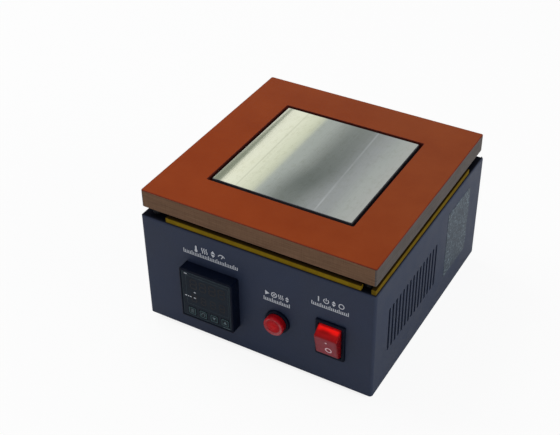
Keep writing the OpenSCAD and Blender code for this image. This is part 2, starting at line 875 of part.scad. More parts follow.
module inlet_pins() {
    floor_z = inlet_t - socket_depth;
    color(zinc) in_frame() on_rear(inlet_x, inlet_z) for (p = pin_places)
        translate([p.x, socket_dz + p.y, 0]) {
            translate([0, 0, -inlet_depth - 8])
                linear_extrude(inlet_depth + 8 + floor_z + pin_len) square(pin, center = true);
        }
}

module inlet_screws() {
    color(zinc) in_frame() for (s = [-1, 1])
        on_rear(inlet_x + s * inlet_screw_at, inlet_z, inlet_t - 1.6) screw(m3_r, m3_head_r - 0.2, 9);
}

fuse_r = 2.6;
fuse_len = 20;
fuse_out = inlet_t - drawer_len + 5;
// The second nest, for a spare fuse, lies this far from the first.
spare_pitch = 8.5;

module fuse_drawer() {
    lip = rear_proud - inlet_t;
    lip_gap = 0.3;
    nest = [fuse_len + 0.4, drawer_h, 2 * fuse_r + 0.4];
    color([0.10, 0.10, 0.11]) in_frame() on_rear(inlet_x, inlet_z) translate([0, drawer_dz, 0])
        difference() {
            union() {
                translate([0, 0, inlet_t - drawer_len])
                    linear_extrude(drawer_len) square([drawer_w, drawer_h], center = true);
                translate([0, 0, inlet_t - eps])
                    linear_extrude(lip_gap + 2 * eps) square([drawer_w - 1, drawer_h - 1], center = true);
                translate([0, 0, inlet_t + lip_gap])
                    linear_extrude(lip - lip_gap) square([drawer_w + 2, drawer_h], center = true);
            }
            for (z = [0, spare_pitch]) translate([0, 2, fuse_out + z]) cube(nest, center = true);
        }
}

module fuse() {
    cap_len = 5;
    color([0.80, 0.82, 0.84]) in_frame() on_rear(inlet_x, inlet_z)
        translate([0, drawer_dz + 2 - drawer_h / 2 + fuse_r, fuse_out]) rotate([0, 90, 0]) {
            cylinder(r = fuse_r - 0.15, h = fuse_len, center = true);
            for (s = [-1, 1]) translate([0, 0, s * (fuse_len - cap_len) / 2])
                cylinder(r = fuse_r, h = cap_len, center = true);
        }
}

// Relay, terminal block and earth

module relay_plate() {
    color([0.75, 0.76, 0.78]) in_frame() translate([relay_at.x, relay_at.y, sheet_t])
        linear_extrude(relay_plate_t) difference() {
            square([66, 50], center = true);
            for (s = [-1, 1]) translate([s * 24, 0]) circle(m4_r + pass_gap);
        }
}

module relay() {
    w = 58;
    d = 45;
    h = 23;
    color([0.15, 0.15, 0.16]) in_frame()
        translate([relay_at.x, relay_at.y, sheet_t + relay_plate_t]) difference() {
            linear_extrude(h) rounded_rect(w, d, 2);
            for (s = [-1, 1]) {
                translate([s * 24, 0, -eps]) cylinder(r = m4_r + pass_gap, h = h);
                translate([s * 26, 0, 6]) linear_extrude(h) rounded_rect(12, 16, 2);
                for (y = [-14, 14]) translate([s * 21, y, h - 7]) {
                    cylinder(r = 4.4, h = 8);
                    translate([s * 6, 0, 4]) cube([12, 6, 8], center = true);
                }
            }
        }
}

module relay_screws() {
    color(zinc) in_frame() translate([relay_at.x, relay_at.y, sheet_t + relay_plate_t + 6])
        for (s = [-1, 1]) translate([s * 24, 0, 0]) screw(m4_r, m4_head_r, 10);
}

relay_lug_z = sheet_t + relay_plate_t + 17.2;
lug_t = 0.8;

// A brass pad in each of the relay's four wells, with a screw that holds a ring lug on it.
module relay_terminals() {
    pad_t = 1.2;
    color(brass) in_frame() for (sx = [-1, 1], sy = [-1, 1])
        translate([relay_at.x + sx * 21, relay_at.y + sy * 14, relay_lug_z]) {
            translate([0, 0, -pad_t]) cylinder(r = 4.3, h = pad_t);
            translate([0, 0, lug_t]) screw(m3_r, m3_head_r, lug_t + pad_t / 2);
        }
}

module terminal_block() {
    w = 32;
    d = 20;
    h = 18;
    color(ceramic_white) in_frame() translate([block_at.x, block_at.y, sheet_t]) difference() {
        linear_extrude(h) rounded_rect(w, d, 2);
        translate([0, 0, -eps]) cylinder(r = m3_r + pass_gap, h = h + 1);
        translate([0, 0, h - 5]) cylinder(r = m3_head_r + 0.4, h = 8);
        for (s = [-1, 1]) {
            translate([s * 9, 0, h / 2])
                rotate([90, 0, 0]) cylinder(r = mains_r + pass_gap, h = d + 2, center = true);
            for (y = [-5, 5]) translate([s * 9, y, h / 2 + 2]) cylinder(r = 2, h = h);
        }
    }
}

module block_screw() {
    color(zinc) in_frame() translate([block_at.x, block_at.y, sheet_t + 13]) screw(m3_r, m3_head_r, 14);
}

module earth_stud() {
    color(brass) in_frame() translate([earth_at.x, earth_at.y, 0])
        rotate([180, 0, 0]) screw(m4_r, m4_head_r, 15);
}

earth_nut_h = 3.2;
earth_lug_z = sheet_t + earth_nut_h;

// One nut holds the stud, and another holds the lug on the first.
module earth_nut() {
    color(brass) in_frame() for (z = [sheet_t, earth_lug_z + lug_t])
        translate([earth_at.x, earth_at.y, z]) nut(m4_r, 7, earth_nut_h);
}

// Wiring

sleeve_gap = 0.5;
sleeve_len = 11;
tab_cover = 5;
tab_sleeve_len = 9;
lug_reach = 9;
barrel_r = 2;
barrel_len = 6.5;
barrel_dz = barrel_r + 0.1;

// A push-on sleeve over a blade. It opens downward on Z = 0 and the wire meets its top.
module blade_sleeve(blade, grip, len = sleeve_len) {
    wall = 1.2;
    fit = 0.1;
    difference() {
        linear_extrude(len) rounded_rect(blade.x + 2 * wall, blade.y + 2 * wall, 0.8);
        translate([0, 0, -eps])
            linear_extrude(grip + eps) square([blade.x + 2 * fit, blade.y + 2 * fit], center = true);
    }
}

// A ring lug that lies on Z = 0 round the origin, with its barrel towards +X.
module ring_lug(hole_r, ring_r) {
    difference() {
        linear_extrude(lug_t) union() {
            circle(ring_r);
            translate([0, -2]) square([lug_reach + 0.5, 4]);
        }
        translate([0, 0, -eps]) cylinder(r = hole_r + pass_gap, h = 1);
    }
    translate([lug_reach, 0, barrel_dz]) rotate([0, 90, 0]) cylinder(r = barrel_r, h = barrel_len);
}

module crimp_connectors() {
    color([0.80, 0.76, 0.68]) in_frame() {
        on_front(switch_x, switch_z, -switch_depth - sleeve_gap)
            at_corners(switch_tab_at.x, switch_tab_at.y) rotate([180, 0, 0]) blade_sleeve(switch_tab, 7.9);
        on_front(lamp_x, lamp_z, lamp_low - sleeve_gap)
            for (s = [-1, 1]) translate([s * lamp_tab_x, 0, 0]) rotate([180, 0, 0]) blade_sleeve(lamp_tab, 7);
        on_rear(inlet_x, inlet_z + socket_dz, -inlet_depth - sleeve_gap)
            for (p = pin_places) translate(p) rotate([180, 0, 0]) blade_sleeve(pin, 7.9);
        for (s = [-1, 1]) translate([s * tab_x, tab_y, tab_low + tab_cover])
            rotate([180, 0, 0]) blade_sleeve([tab_w, tab_t], tab_cover + 0.4, tab_sleeve_len);
        for (sx = [-1, 1], sy = [-1, 1])
            translate([relay_at.x + sx * 21, relay_at.y + sy * 14, relay_lug_z])
                rotate(90 - sx * 90) ring_lug(m3_r, 3.4);
        translate([earth_at.x, earth_at.y, earth_lug_z]) rotate(180) ring_lug(m4_r, 4);
    }
}

// A route with its corners eased over the length reach, or less where its legs are short.
function eased(route, reach) = [
    route[0],
    for (i = [1 : len(route) - 2]) let (
        a = route[i - 1],
        b = route[i],
        c = route[i + 1]
    ) each soft_corner(a, b, c, min(reach, 0.45 * norm(a - b), 0.45 * norm(c - b))),
    route[len(route) - 1]
];

function unit(v) = v / norm(v);

// The direction of the path at each of its points.
function headings(path) = [
    for (i = [0 : len(path) - 1]) unit(path[min(i + 1, len(path) - 1)] - path[max(i - 1, 0)])
];

// For each heading a direction square to it, turning as little as possible from one to the next.
function squares(heading, i = 0, last = [0, 0, 1]) = i == len(heading) ? [] : let (
    flat = last - (last * heading[i]) * heading[i],
    side = norm(flat) > 0.01 ? unit(flat) : unit(cross(heading[i], [1, 0, 0]))
) concat([side], squares(heading, i + 1, side));

// A round wire of radius r along a route, with flat ends.
module wire(route, r, reach = 8) {
    n = 8;
    path = eased(route, reach);
    heading = headings(path);
    side = squares(heading);
    last = (len(path) - 1) * n;
    rings = [for (i = [0 : len(path) - 1], k = [0 : n - 1]) let (a = k * 360 / n)
        path[i] + r * (cos(a) * side[i] + sin(a) * cross(heading[i], side[i]))];
    walls = [for (i = [0 : len(path) - 2], k = [0 : n - 1]) let (
        a = i * n + k,
        b = i * n + (k + 1) % n
    ) each [[a, b + n, b], [a, a + n, b + n]]];
    ends = [[for (k = [0 : n - 1]) k], [for (k = [n - 1 : -1 : 0]) last + k]];
    polyhedron(rings, concat(walls, ends));
}

// Where the wires meet their connectors.
switch_back = -half_d + switch_depth + sleeve_gap + sleeve_len;
inlet_back = half_d - inlet_depth - sleeve_gap - sleeve_len;
lamp_back = -half_d - lamp_low + sleeve_gap + sleeve_len;
tab_back = tab_low + tab_cover - tab_sleeve_len;
lug_end = lug_reach + barrel_len;
relay_wire_z = relay_lug_z + barrel_dz;
hole_z = sheet_t + 9;
switch_up = switch_z + switch_tab_at.y;
switch_low = switch_z - switch_tab_at.y;
pin_z = inlet_z + socket_dz;

// Two ways along the right wall, at these distances from the middle.
side_way = 91;
outer_way = 95.5;

// Places of the wires on the controller's terminals: x of a column's outer side, then a row's height.
right_column = ctl_x + 16.5;
left_column = ctl_x - 16.5;
column_y = -half_d + ctl_depth + 6.5;
function row_z(i) = ctl_z + (i - 2) * 8;

// Line and neutral to the switch, then line to the relay and on to the block, neutral, and earth.
mains_routes = [
    [[inlet_x + 7, inlet_back, pin_z - 2], [inlet_x + 7, 57, pin_z - 2], [side_way, 57, 22],
        [side_way, -40, switch_up], [side_way, -57, switch_up], [switch_x + 5, -57, switch_up],
        [switch_x + 5, switch_back, switch_up]],
    [[inlet_x - 7, inlet_back, pin_z - 2], [inlet_x - 7, 60, pin_z - 2], [47, 58, 18],
        [outer_way, 58, 18], [outer_way, -40, switch_low], [outer_way, -57, switch_low],
        [switch_x + 5, -57, switch_low], [switch_x + 5, switch_back, switch_low]],
    [[switch_x - 5, switch_back, switch_up + 1.8], [switch_x - 5, -50, switch_up + 1.8],
        [switch_x - 5, -44, 16], [40, 0, 12], [6, 28, 12], [6, relay_at.y - 14, relay_wire_z],
        [relay_at.x + 21 + lug_end, relay_at.y - 14, relay_wire_z]],
    [[relay_at.x + 21 + lug_end, relay_at.y + 14, relay_wire_z], [4, relay_at.y + 14, relay_wire_z],
        [8, 77, 16], [block_at.x - 9, 78, hole_z], [block_at.x - 9, 64, hole_z]],
    [[switch_x - 5, switch_back, switch_low - 1.8], [switch_x - 5, -57, switch_low - 1.8],
        [switch_x - 5, -54, 8], [48, -20, 6], [block_at.x + 9, 34, 7], [block_at.x + 9, 40, hole_z],
        [block_at.x + 9, 52, hole_z]],
    [[inlet_x, inlet_back, pin_z + 2], [inlet_x, 55, pin_z + 2], [inlet_x, 53, 10],
        [54, earth_at.y, earth_lug_z + barrel_dz],
        [earth_at.x - lug_end, earth_at.y, earth_lug_z + barrel_dz]]
];

// Leads in glass braid from the heater's tabs to the block.
heater_routes = [
    [[tab_x, tab_y, tab_back], [tab_x, tab_y, 84.8], [tab_x, 68, 81], [16, 70, 40], [31, 78, 20],
        [block_at.x + 9, 78, hole_z], [block_at.x + 9, 64, hole_z]],
    [[-tab_x, tab_y, tab_back], [-tab_x, tab_y, 84.8], [-tab_x, 68, 81], [-12, 66, 44], [0, 48, 31],
        [9, 40, 16], [block_at.x - 9, 42, hole_z], [block_at.x - 9, 52, hole_z]]
];

// Supply of the controller, its output to the relay, the run light, and the thermocouple's lead.
signal_routes = [
    [[switch_x - 5, switch_back, switch_up - 1.8], [switch_x - 5, -61, switch_up - 1.8],
        [56, -50, 46], [20, -30, 30],
        [-4, column_y, row_z(0)], [right_column, column_y, row_z(0)]],
    [[switch_x - 5, switch_back, switch_low + 1.8], [switch_x - 5, -62, switch_low + 1.8],
        [54, -49, 36], [20, -26, 34],
        [-4, column_y, row_z(1)], [right_column, column_y, row_z(1)]],
    [[left_column, column_y, row_z(1)], [-70, column_y, row_z(1)], [-80, 0, 24], [-80, 32, 20],
        [-80, relay_at.y - 14, relay_wire_z], [relay_at.x - 21 - lug_end, relay_at.y - 14, relay_wire_z]],
    [[left_column, column_y, row_z(0)], [-68, column_y, row_z(0)], [-88, 0, 14], [-88, 58, 14],
        [-84, relay_at.y + 14, relay_wire_z], [relay_at.x - 21 - lug_end, relay_at.y + 14, relay_wire_z]],
    [[lamp_x - 3, lamp_back, lamp_z], [lamp_x - 3, -42, lamp_z], [0, -20, 46],
        [-6, column_y, row_z(2)], [right_column, column_y, row_z(2)]],
    [[lamp_x + 3, lamp_back, lamp_z], [lamp_x + 3, -54, lamp_z], [lamp_x + 3, -40, 44], [4, -16, 53],
        [-6, column_y, row_z(3)], [right_column, column_y, row_z(3)]],
    [[0, 0, tray_z - 8], [0, 0, 65], [-8, column_y, row_z(4)], [right_column, column_y, row_z(4)]]
];

module mains_wires() {
    color([0.35, 0.20, 0.12]) in_frame() for (route = mains_routes) wire(route, mains_r);
}

module heater_leads() {
    color([0.85, 0.83, 0.76]) in_frame() for (route = heater_routes) wire(route, mains_r, 5);
}

module signal_wires() {
    color([0.15, 0.25, 0.50]) in_frame() for (route = signal_routes) wire(route, signal_r);
}

module blank_label() {
    label_t = 0.15;
    color([0.45, 0.48, 0.50]) in_frame() translate([half_w, 54.5, 53]) rotate([90, 0, 90])
        linear_extrude(label_t) rounded_rect(46, 64, 1.5);
}

case_shell();
base_plate();
rear_panel();
case_screws();
rubber_feet();
foot_screws();
foot_nuts();
front_strip();
right_strip();
rear_strip();
left_strip();
top_board();
board_spacers();
board_screws();
hot_plate();
heating_element();
clamp_plate();
clamp_screws();
ceramic_posts();
plate_studs();
stud_nuts();
support_tray();
insulation_pad();
tray_pillars();
pillar_screws();
thermocouple();
controller_bezel();
controller_case();
controller_faceplate();
display_board();
key_1();
key_2();
key_3();
key_4();
controller_clip();
controller_terminals();
run_light_lens();
run_light_body();
run_light_nut();
switch_body();
rocker();
switch_terminals();
inlet_body();
inlet_pins();
inlet_screws();
fuse_drawer();
fuse();
relay();
relay_plate();
relay_screws();
relay_terminals();
terminal_block();
block_screw();
earth_stud();
earth_nut();
crimp_connectors();
mains_wires();
heater_leads();
signal_wires();
blank_label();
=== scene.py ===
import json
import math

import bmesh
import bpy
from mathutils import Matrix, Vector

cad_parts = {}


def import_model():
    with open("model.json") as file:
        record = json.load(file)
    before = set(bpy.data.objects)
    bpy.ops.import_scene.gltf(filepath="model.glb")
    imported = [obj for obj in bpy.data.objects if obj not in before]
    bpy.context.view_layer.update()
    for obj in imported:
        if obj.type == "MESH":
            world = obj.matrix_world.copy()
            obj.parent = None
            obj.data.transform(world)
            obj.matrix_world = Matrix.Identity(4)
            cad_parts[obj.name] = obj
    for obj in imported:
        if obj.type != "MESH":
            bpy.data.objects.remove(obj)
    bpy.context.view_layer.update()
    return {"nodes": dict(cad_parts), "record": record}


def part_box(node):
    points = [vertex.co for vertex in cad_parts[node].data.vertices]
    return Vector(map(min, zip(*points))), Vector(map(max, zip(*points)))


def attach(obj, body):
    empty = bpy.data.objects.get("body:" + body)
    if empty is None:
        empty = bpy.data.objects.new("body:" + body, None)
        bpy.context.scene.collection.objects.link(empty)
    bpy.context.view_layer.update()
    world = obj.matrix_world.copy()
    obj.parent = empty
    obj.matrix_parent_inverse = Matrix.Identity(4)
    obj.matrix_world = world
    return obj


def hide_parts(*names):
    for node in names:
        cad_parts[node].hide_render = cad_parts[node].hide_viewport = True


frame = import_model()

MM = 0.001
CASE_LOW, CASE_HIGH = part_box("case_shell")
FRONT_Y = CASE_LOW.y
SIDE_X = CASE_HIGH.x
BOTTOM_Z = CASE_LOW.z
BODY = "case"
# How far the controller's window lies behind the front of its bezel, in millimetres
WINDOW_SUNK = 0.5


# Places. Local coordinates are millimetres: x to the right, y up, z out of the panel.

def on_front(x, z, out=0.0):
    """Maps local millimetres to the frame, at x, z on the front panel."""
    axes = Matrix(((1, 0, 0, 0), (0, 0, -1, 0), (0, 1, 0, 0), (0, 0, 0, 1)))
    spot = Matrix.Translation((x, FRONT_Y - out * MM, z))
    return spot @ axes @ Matrix.Scale(MM, 4)


def lying(x, y, z):
    """Maps local millimetres to the frame, with local z upward, at x, y, z in metres."""
    return Matrix.Translation((x, y, z)) @ Matrix.Scale(MM, 4)


def middle(node):
    """The middle of a node's box."""
    low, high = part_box(node)
    return (low + high) / 2


def size_mm(node):
    """Width, depth and height of a node's box in millimetres."""
    low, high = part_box(node)
    return (high - low) / MM


# Meshes

def arc(cx, cy, radius, start, end, steps):
    """Points along an arc in degrees, both ends included."""
    turns = [math.radians(start + (end - start) * k / steps) for k in range(steps + 1)]
    return [(cx + radius * math.cos(t), cy + radius * math.sin(t)) for t in turns]


def circle(x, y, radius, steps=40):
    """Points round a circle, each once."""
    return arc(x, y, radius, 0, 360, steps)[:-1]


def eased(radius, top, steps):
    """Points round an edge that ends at height top, each as how far it is cut in, and its height."""
    turns = [math.radians(90 * k / steps) for k in range(steps + 1)]
    return [(radius * (1 - math.cos(t)), top - radius * (1 - math.sin(t))) for t in turns]


def rect_ring(w, h, r, z, steps=6):
    """A rectangle with rounded corners at height z, round the local origin."""
    corners = ((1, 1, 0), (-1, 1, 90), (-1, -1, 180), (1, -1, 270))
    ring = []
    for sx, sy, start in corners:
        ring += arc(sx * (w / 2 - r), sy * (h / 2 - r), r, start, start + 90, steps)
    return [(x, y, z) for x, y in ring]


def stacked(w, h, r, profile, steps=6):
    """A rounded rectangle for each point of the profile, cut in by as much on every side."""
    return [rect_ring(w - 2 * cut, h - 2 * cut, r, z, steps) for cut, z in profile]


def bridge(mesh, row, following):
    """Faces between two closed rows of equally many points."""
    for i, corner in enumerate(row):
        j = (i + 1) % len(row)
        mesh.faces.new((corner, row[j], following[j], following[i]))


def loft(rings, loop=False):
    """A mesh through rings of equally many points, capped at its ends or closed on itself."""
    mesh = bmesh.new()
    rows = [[mesh.verts.new(p) for p in ring] for ring in rings]
    for row, following in zip(rows, rows[1:]):
        bridge(mesh, row, following)
    if loop:
        bridge(mesh, rows[-1], rows[0])
    else:
        mesh.faces.new(rows[0][::-1])
        mesh.faces.new(rows[-1])
    return mesh


def revolved(profile, steps=96):
    """A mesh turned round local z, through the radius and height of each point of its profile."""
    return loft([[(x, y, z) for x, y in circle(0, 0, r, steps)] for r, z in profile])


def prism(outlines, z0, z1):
    """Closed plates with these outlines, from z0 to z1, in one mesh."""
    mesh = bmesh.new()
    for outline in outlines:
        low = [mesh.verts.new((x, y, z0)) for x, y in outline]
        high = [mesh.verts.new((x, y, z1)) for x, y in outline]
        bridge(mesh, low, high)
        mesh.faces.new(low[::-1])
        mesh.faces.new(high)
    return mesh


def hollow_prism(loops, z0, z1):
    """Closed rings, each between an outer and an inner outline of equally many points."""
    mesh = bmesh.new()
    for outer, inner in loops:
        rows = [[mesh.verts.new((x, y, z)) for x, y in line]
                for line, z in ((outer, z0), (outer, z1), (inner, z1), (inner, z0))]
        for row, following in zip(rows, rows[1:] + rows[:1]):
            bridge(mesh, row, following)
    return mesh


def joined(*meshes):
    """All these meshes in the first of them."""
    whole = meshes[0]
    for other in meshes[1:]:
        spare = bpy.data.meshes.new("joining")
        other.to_mesh(spare)
        whole.from_mesh(spare)
        bpy.data.meshes.remove(spare)
        other.free()
    return whole


def piece(name, mesh, place, material, body=BODY, replaces=(), sharp=35, tint=None):
    """Turns a local mesh into a shown piece that rides on a body.

    Edges that turn by more than sharp degrees stay crisp. tint gives a face the number of its material.
    """
    mesh.transform(place)
    bmesh.ops.recalc_face_normals(mesh, faces=mesh.faces)
    for face in mesh.faces:
        face.smooth = True
        if tint:
            face.material_index = tint(face)
    for edge in mesh.edges:
        edge.smooth = edge.calc_face_angle(0) < math.radians(sharp)
    data = bpy.data.meshes.new(name)
    mesh.to_mesh(data)
    mesh.free()
    shown = bpy.data.objects.new(name, data)
    bpy.context.scene.collection.objects.link(shown)
    for each in material if isinstance(material, (list, tuple)) else [material]:
        data.materials.append(each)
    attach(shown, body)
    if replaces:
        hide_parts(*replaces)
    weighted = shown.modifiers.new("flat faces stay flat", "WEIGHTED_NORMAL")
    weighted.keep_sharp = True


# Flat ink shapes, as outlines in local millimetres

def bar(x, y, w, h):
    """A rectangle round x, y."""
    return [(x - w / 2, y - h / 2), (x + w / 2, y - h / 2), (x + w / 2, y + h / 2), (x - w / 2, y + h / 2)]


def ribbon(path, width):
    """Outline of an open line of the given width."""
    left, right = [], []
    for i, (x, y) in enumerate(path):
        ax, ay = path[max(i - 1, 0)]
        bx, by = path[min(i + 1, len(path) - 1)]
        along = Vector((bx - ax, by - ay)).normalized()
        left.append((x - along.y * width / 2, y + along.x * width / 2))
        right.append((x + along.y * width / 2, y - along.x * width / 2))
    return left + right[::-1]


def ring_pair(x, y, r, width):
    """Outer and inner outline of a round ring."""
    return circle(x, y, r), circle(x, y, r - width)


def rect_pair(x, y, w, h, r, width):
    """Outer and inner outline of a frame with rounded corners."""
    outer = [(x + a, y + b) for a, b, _ in rect_ring(w, h, r, 0)]
    inner = [(x + a, y + b) for a, b, _ in rect_ring(w - 2 * width, h - 2 * width, r - width, 0)]
    return outer, inner


def triangle(x, y, w, h):
    """A triangle that points up, or down where h is negative."""
    return [(x - w / 2, y - h / 2), (x + w / 2, y - h / 2), (x, y + h / 2)]


def ink(name, place, material, outlines=(), loops=(), body=BODY, height=0.04):
    """Thin plates that lie on the surface under them: printed marks, and a painted highlight on the window.
    """
    parts = []
    if outlines:
        parts.append(prism(outlines, -0.01, height))
    if loops:
        parts.append(hollow_prism(loops, -0.01, height))
    piece(name, joined(*parts), place, material, body=body)


# Materials

class Nodes:
    """Short ways to add nodes to the tree of a material or the world."""

    def __init__(self, tree):
        self.tree = tree

    def node(self, kind, inputs=None, **settings):
        """A new node with these settings; each input is a constant or a socket that feeds it."""
        made = self.tree.nodes.new(kind)
        for key, value in settings.items():
            setattr(made, key, value)
        for key, value in (inputs or {}).items():
            if isinstance(value, bpy.types.NodeSocket):
                self.tree.links.new(value, made.inputs[key])
            else:
                made.inputs[key].default_value = value
        return made

    def math(self, how, a, b=0.0):
        """The outcome of one operation on two values."""
        return self.node("ShaderNodeMath", {0: a, 1: b}, operation=how).outputs[0]

    def ramp(self, value, *stops):
        """Colours along value; each stop is a place and an RGB colour."""
        made = self.node("ShaderNodeValToRGB", {"Fac": value})
        while len(made.color_ramp.elements) < len(stops):
            made.color_ramp.elements.new(0.5)
        for element, (at, colour) in zip(made.color_ramp.elements, stops):
            element.position = at
            element.color = (*colour, 1)
        return made.outputs["Color"]

    def mixed(self, amount, a, b):
        """Colour a where amount is 0, and b where it is 1."""
        made = self.node("ShaderNodeMix", {"Factor": amount, "A": a, "B": b}, data_type="RGBA")
        return made.outputs["Result"]


class Finish(Nodes):
    """A material built on one Principled shader, with textures in the part's own coordinates."""

    def __init__(self, name, **constants):
        self.material = bpy.data.materials.new(name)
        self.material.use_nodes = True
        super().__init__(self.material.node_tree)
        self.shader = self.tree.nodes["Principled BSDF"]
        self.place = self.node("ShaderNodeTexCoord").outputs["Object"]
        for key, value in constants.items():
            self.shader.inputs[key.replace("_", " ")].default_value = value

    def link(self, output, socket):
        """Feeds a socket of the shader."""
        self.tree.links.new(output, self.shader.inputs[socket])

    def stretched(self, x, y, z):
        """Coordinates in which a pattern grows longer along an axis whose factor is under 1."""
        return self.node("ShaderNodeMapping", {"Vector": self.place, "Scale": (x, y, z)}).outputs[0]

    def noise(self, scale, detail, rough=0.5, where=None):
        """Noise whose spots are about 1 / scale metres wide."""
        made = self.node("ShaderNodeTexNoise", {"Vector": where or self.place, "Scale": scale,
                                                "Detail": detail, "Roughness": rough})
        return made.outputs["Fac"]

    def cells(self, scale):
        """Distance from the middle of cells about 1 / scale metres wide."""
        return self.node("ShaderNodeTexVoronoi", {"Vector": self.place, "Scale": scale}).outputs["Distance"]

    def span(self, value, low, high, start=0.0, end=1.0):
        """Maps value from start..end to low..high, held at both ends."""
        return self.node("ShaderNodeMapRange", {"Value": value, "From Min": start, "From Max": end,
                                                "To Min": low, "To Max": high}).outputs[0]

    def axis(self, letter):
        """One of the part's own coordinates, in metres."""
        return self.node("ShaderNodeSeparateXYZ", {0: self.place}).outputs[letter]

    def height(self):
        return self.axis("Z")

    def across(self, lean):
        """The part's x, less what a line that leans by x over y has gained."""
        return self.math("ADD", self.axis("X"), self.math("MULTIPLY", self.axis("Y"), -lean))

    def near(self, value, target, full, none):
        """1 where value is within full of target, and 0 where it is farther off than none."""
        aside = self.math("ABSOLUTE", self.math("SUBTRACT", value, target))
        return self.span(aside, 1, 0, full, none)

    def line(self, x, lean, width):
        """1 on a thin line along the part at x, and 0 beside it."""
        return self.near(self.across(lean), x, width * 0.4, width)

    def bump(self, height, depth, under=None):
        """Relief of the given depth in metres."""
        inputs = {"Height": height, "Distance": depth, "Strength": 1.0}
        if under:
            inputs["Normal"] = under
        return self.node("ShaderNodeBump", inputs).outputs[0]


def shade(colour, factor):
    """The colour times factor, held at 1."""
    return tuple(min(1.0, c * factor) for c in colour)


def powder_coat(name, colour):
    """Powder coat: fine orange peel, slight mottling, semi-matt, with painted shade at the top rim."""
    coat = Finish(name)
    cloud = coat.noise(35, 4)
    speck = coat.noise(2600, 2)
    tone = coat.ramp(cloud, (0.3, shade(colour, 0.9)), (0.7, shade(colour, 1.1)))
    tone = coat.mixed(coat.span(speck, 0, 0.35, 0.45, 0.75), tone, (*shade(colour, 1.7), 1))
    # Painted shade: the top rim, seen only in the gap under the board, turns near black, matt and without
    # gloss.
    rim = coat.span(coat.height(), 0, 0.9, CASE_HIGH.z - 1.3 * MM, CASE_HIGH.z - 0.4 * MM)
    coat.link(coat.mixed(rim, tone, (0.003, 0.003, 0.004, 1)), "Base Color")
    coat.link(coat.math("MAXIMUM", rim, coat.span(cloud, 0.48, 0.6, 0.3, 0.7)), "Roughness")
    coat.link(coat.span(rim, 0.3, 0), "Specular IOR Level")
    peel = coat.bump(coat.noise(900, 2), 0.00006)
    coat.link(coat.bump(speck, 0.00002, peel), "Normal")
    return coat.material


def phenolic_face():
    """The board's face: orange-brown laminate, paler and greyer towards the rear right, with fibre mottle and
    scuffs.
    """
    face = Finish("phenolic_face", Specular_IOR_Level=0.07)
    cloud = face.noise(28, 5, 0.6)
    fibre = face.noise(1400, 4, 0.7)
    scuff = face.noise(60, 4, 0.6, face.stretched(1, 9, 1))
    front_left_tone = face.ramp(cloud, (0.3, (0.255, 0.035, 0.0025)), (0.7, (0.292, 0.045, 0.0045)))
    rear_right_tone = face.ramp(cloud, (0.3, (0.232, 0.044, 0.0100)), (0.7, (0.265, 0.055, 0.0130)))
    # Paler and greyer towards the rear right.
    far = face.span(face.math("ADD", face.axis("X"), face.axis("Y")), 0, 1, -0.1, 0.12)
    tone = face.mixed(far, front_left_tone, rear_right_tone)
    tone = face.mixed(face.span(fibre, 0, 0.4, 0.5, 0.75), tone, (0.205, 0.034, 0.008, 1))
    face.link(face.mixed(face.span(scuff, 0, 0.3, 0.62, 0.8), tone, (0.33, 0.075, 0.022, 1)), "Base Color")
    face.link(face.span(face.math("ADD", scuff, cloud), 0.34, 0.5, 0.7, 1.4), "Roughness")
    face.link(face.bump(fibre, 0.00003, face.bump(cloud, 0.00004)), "Normal")
    return face.material


def phenolic_edge(name, colour):
    """The board's sawn edge: dull plies with fine saw marks."""
    edge = Finish(name, Specular_IOR_Level=0.1)
    plies = edge.noise(55, 3, 0.6, edge.stretched(1, 1, 28))
    saw = edge.noise(1100, 3, 0.6, edge.stretched(1, 1, 0.08))
    tone = edge.ramp(plies, (0.3, shade(colour, 0.76)), (0.5, colour), (0.72, shade(colour, 1.24)))
    edge.link(edge.mixed(edge.span(saw, 0, 0.5, 0.45, 0.8), tone, (*shade(colour, 0.65), 1)), "Base Color")
    edge.link(edge.span(saw, 0.55, 0.75), "Roughness")
    edge.link(edge.bump(saw, 0.00006, edge.bump(plies, 0.00005)), "Normal")
    return edge.material


def phenolic_slit_painted_shade():
    """The wall of the opening: sawn, and painted dark as the shade in the slit."""
    slit = Finish("phenolic_slit_painted_shade", Specular_IOR_Level=0.2)
    painted_shade = slit.noise(300, 4, 0.6)
    slit.link(slit.ramp(painted_shade, (0.3, (0.06, 0.006, 0.003)), (0.7, (0.12, 0.013, 0.005))), "Base Color")
    slit.link(slit.span(painted_shade, 0.7, 0.9), "Roughness")
    return slit.material


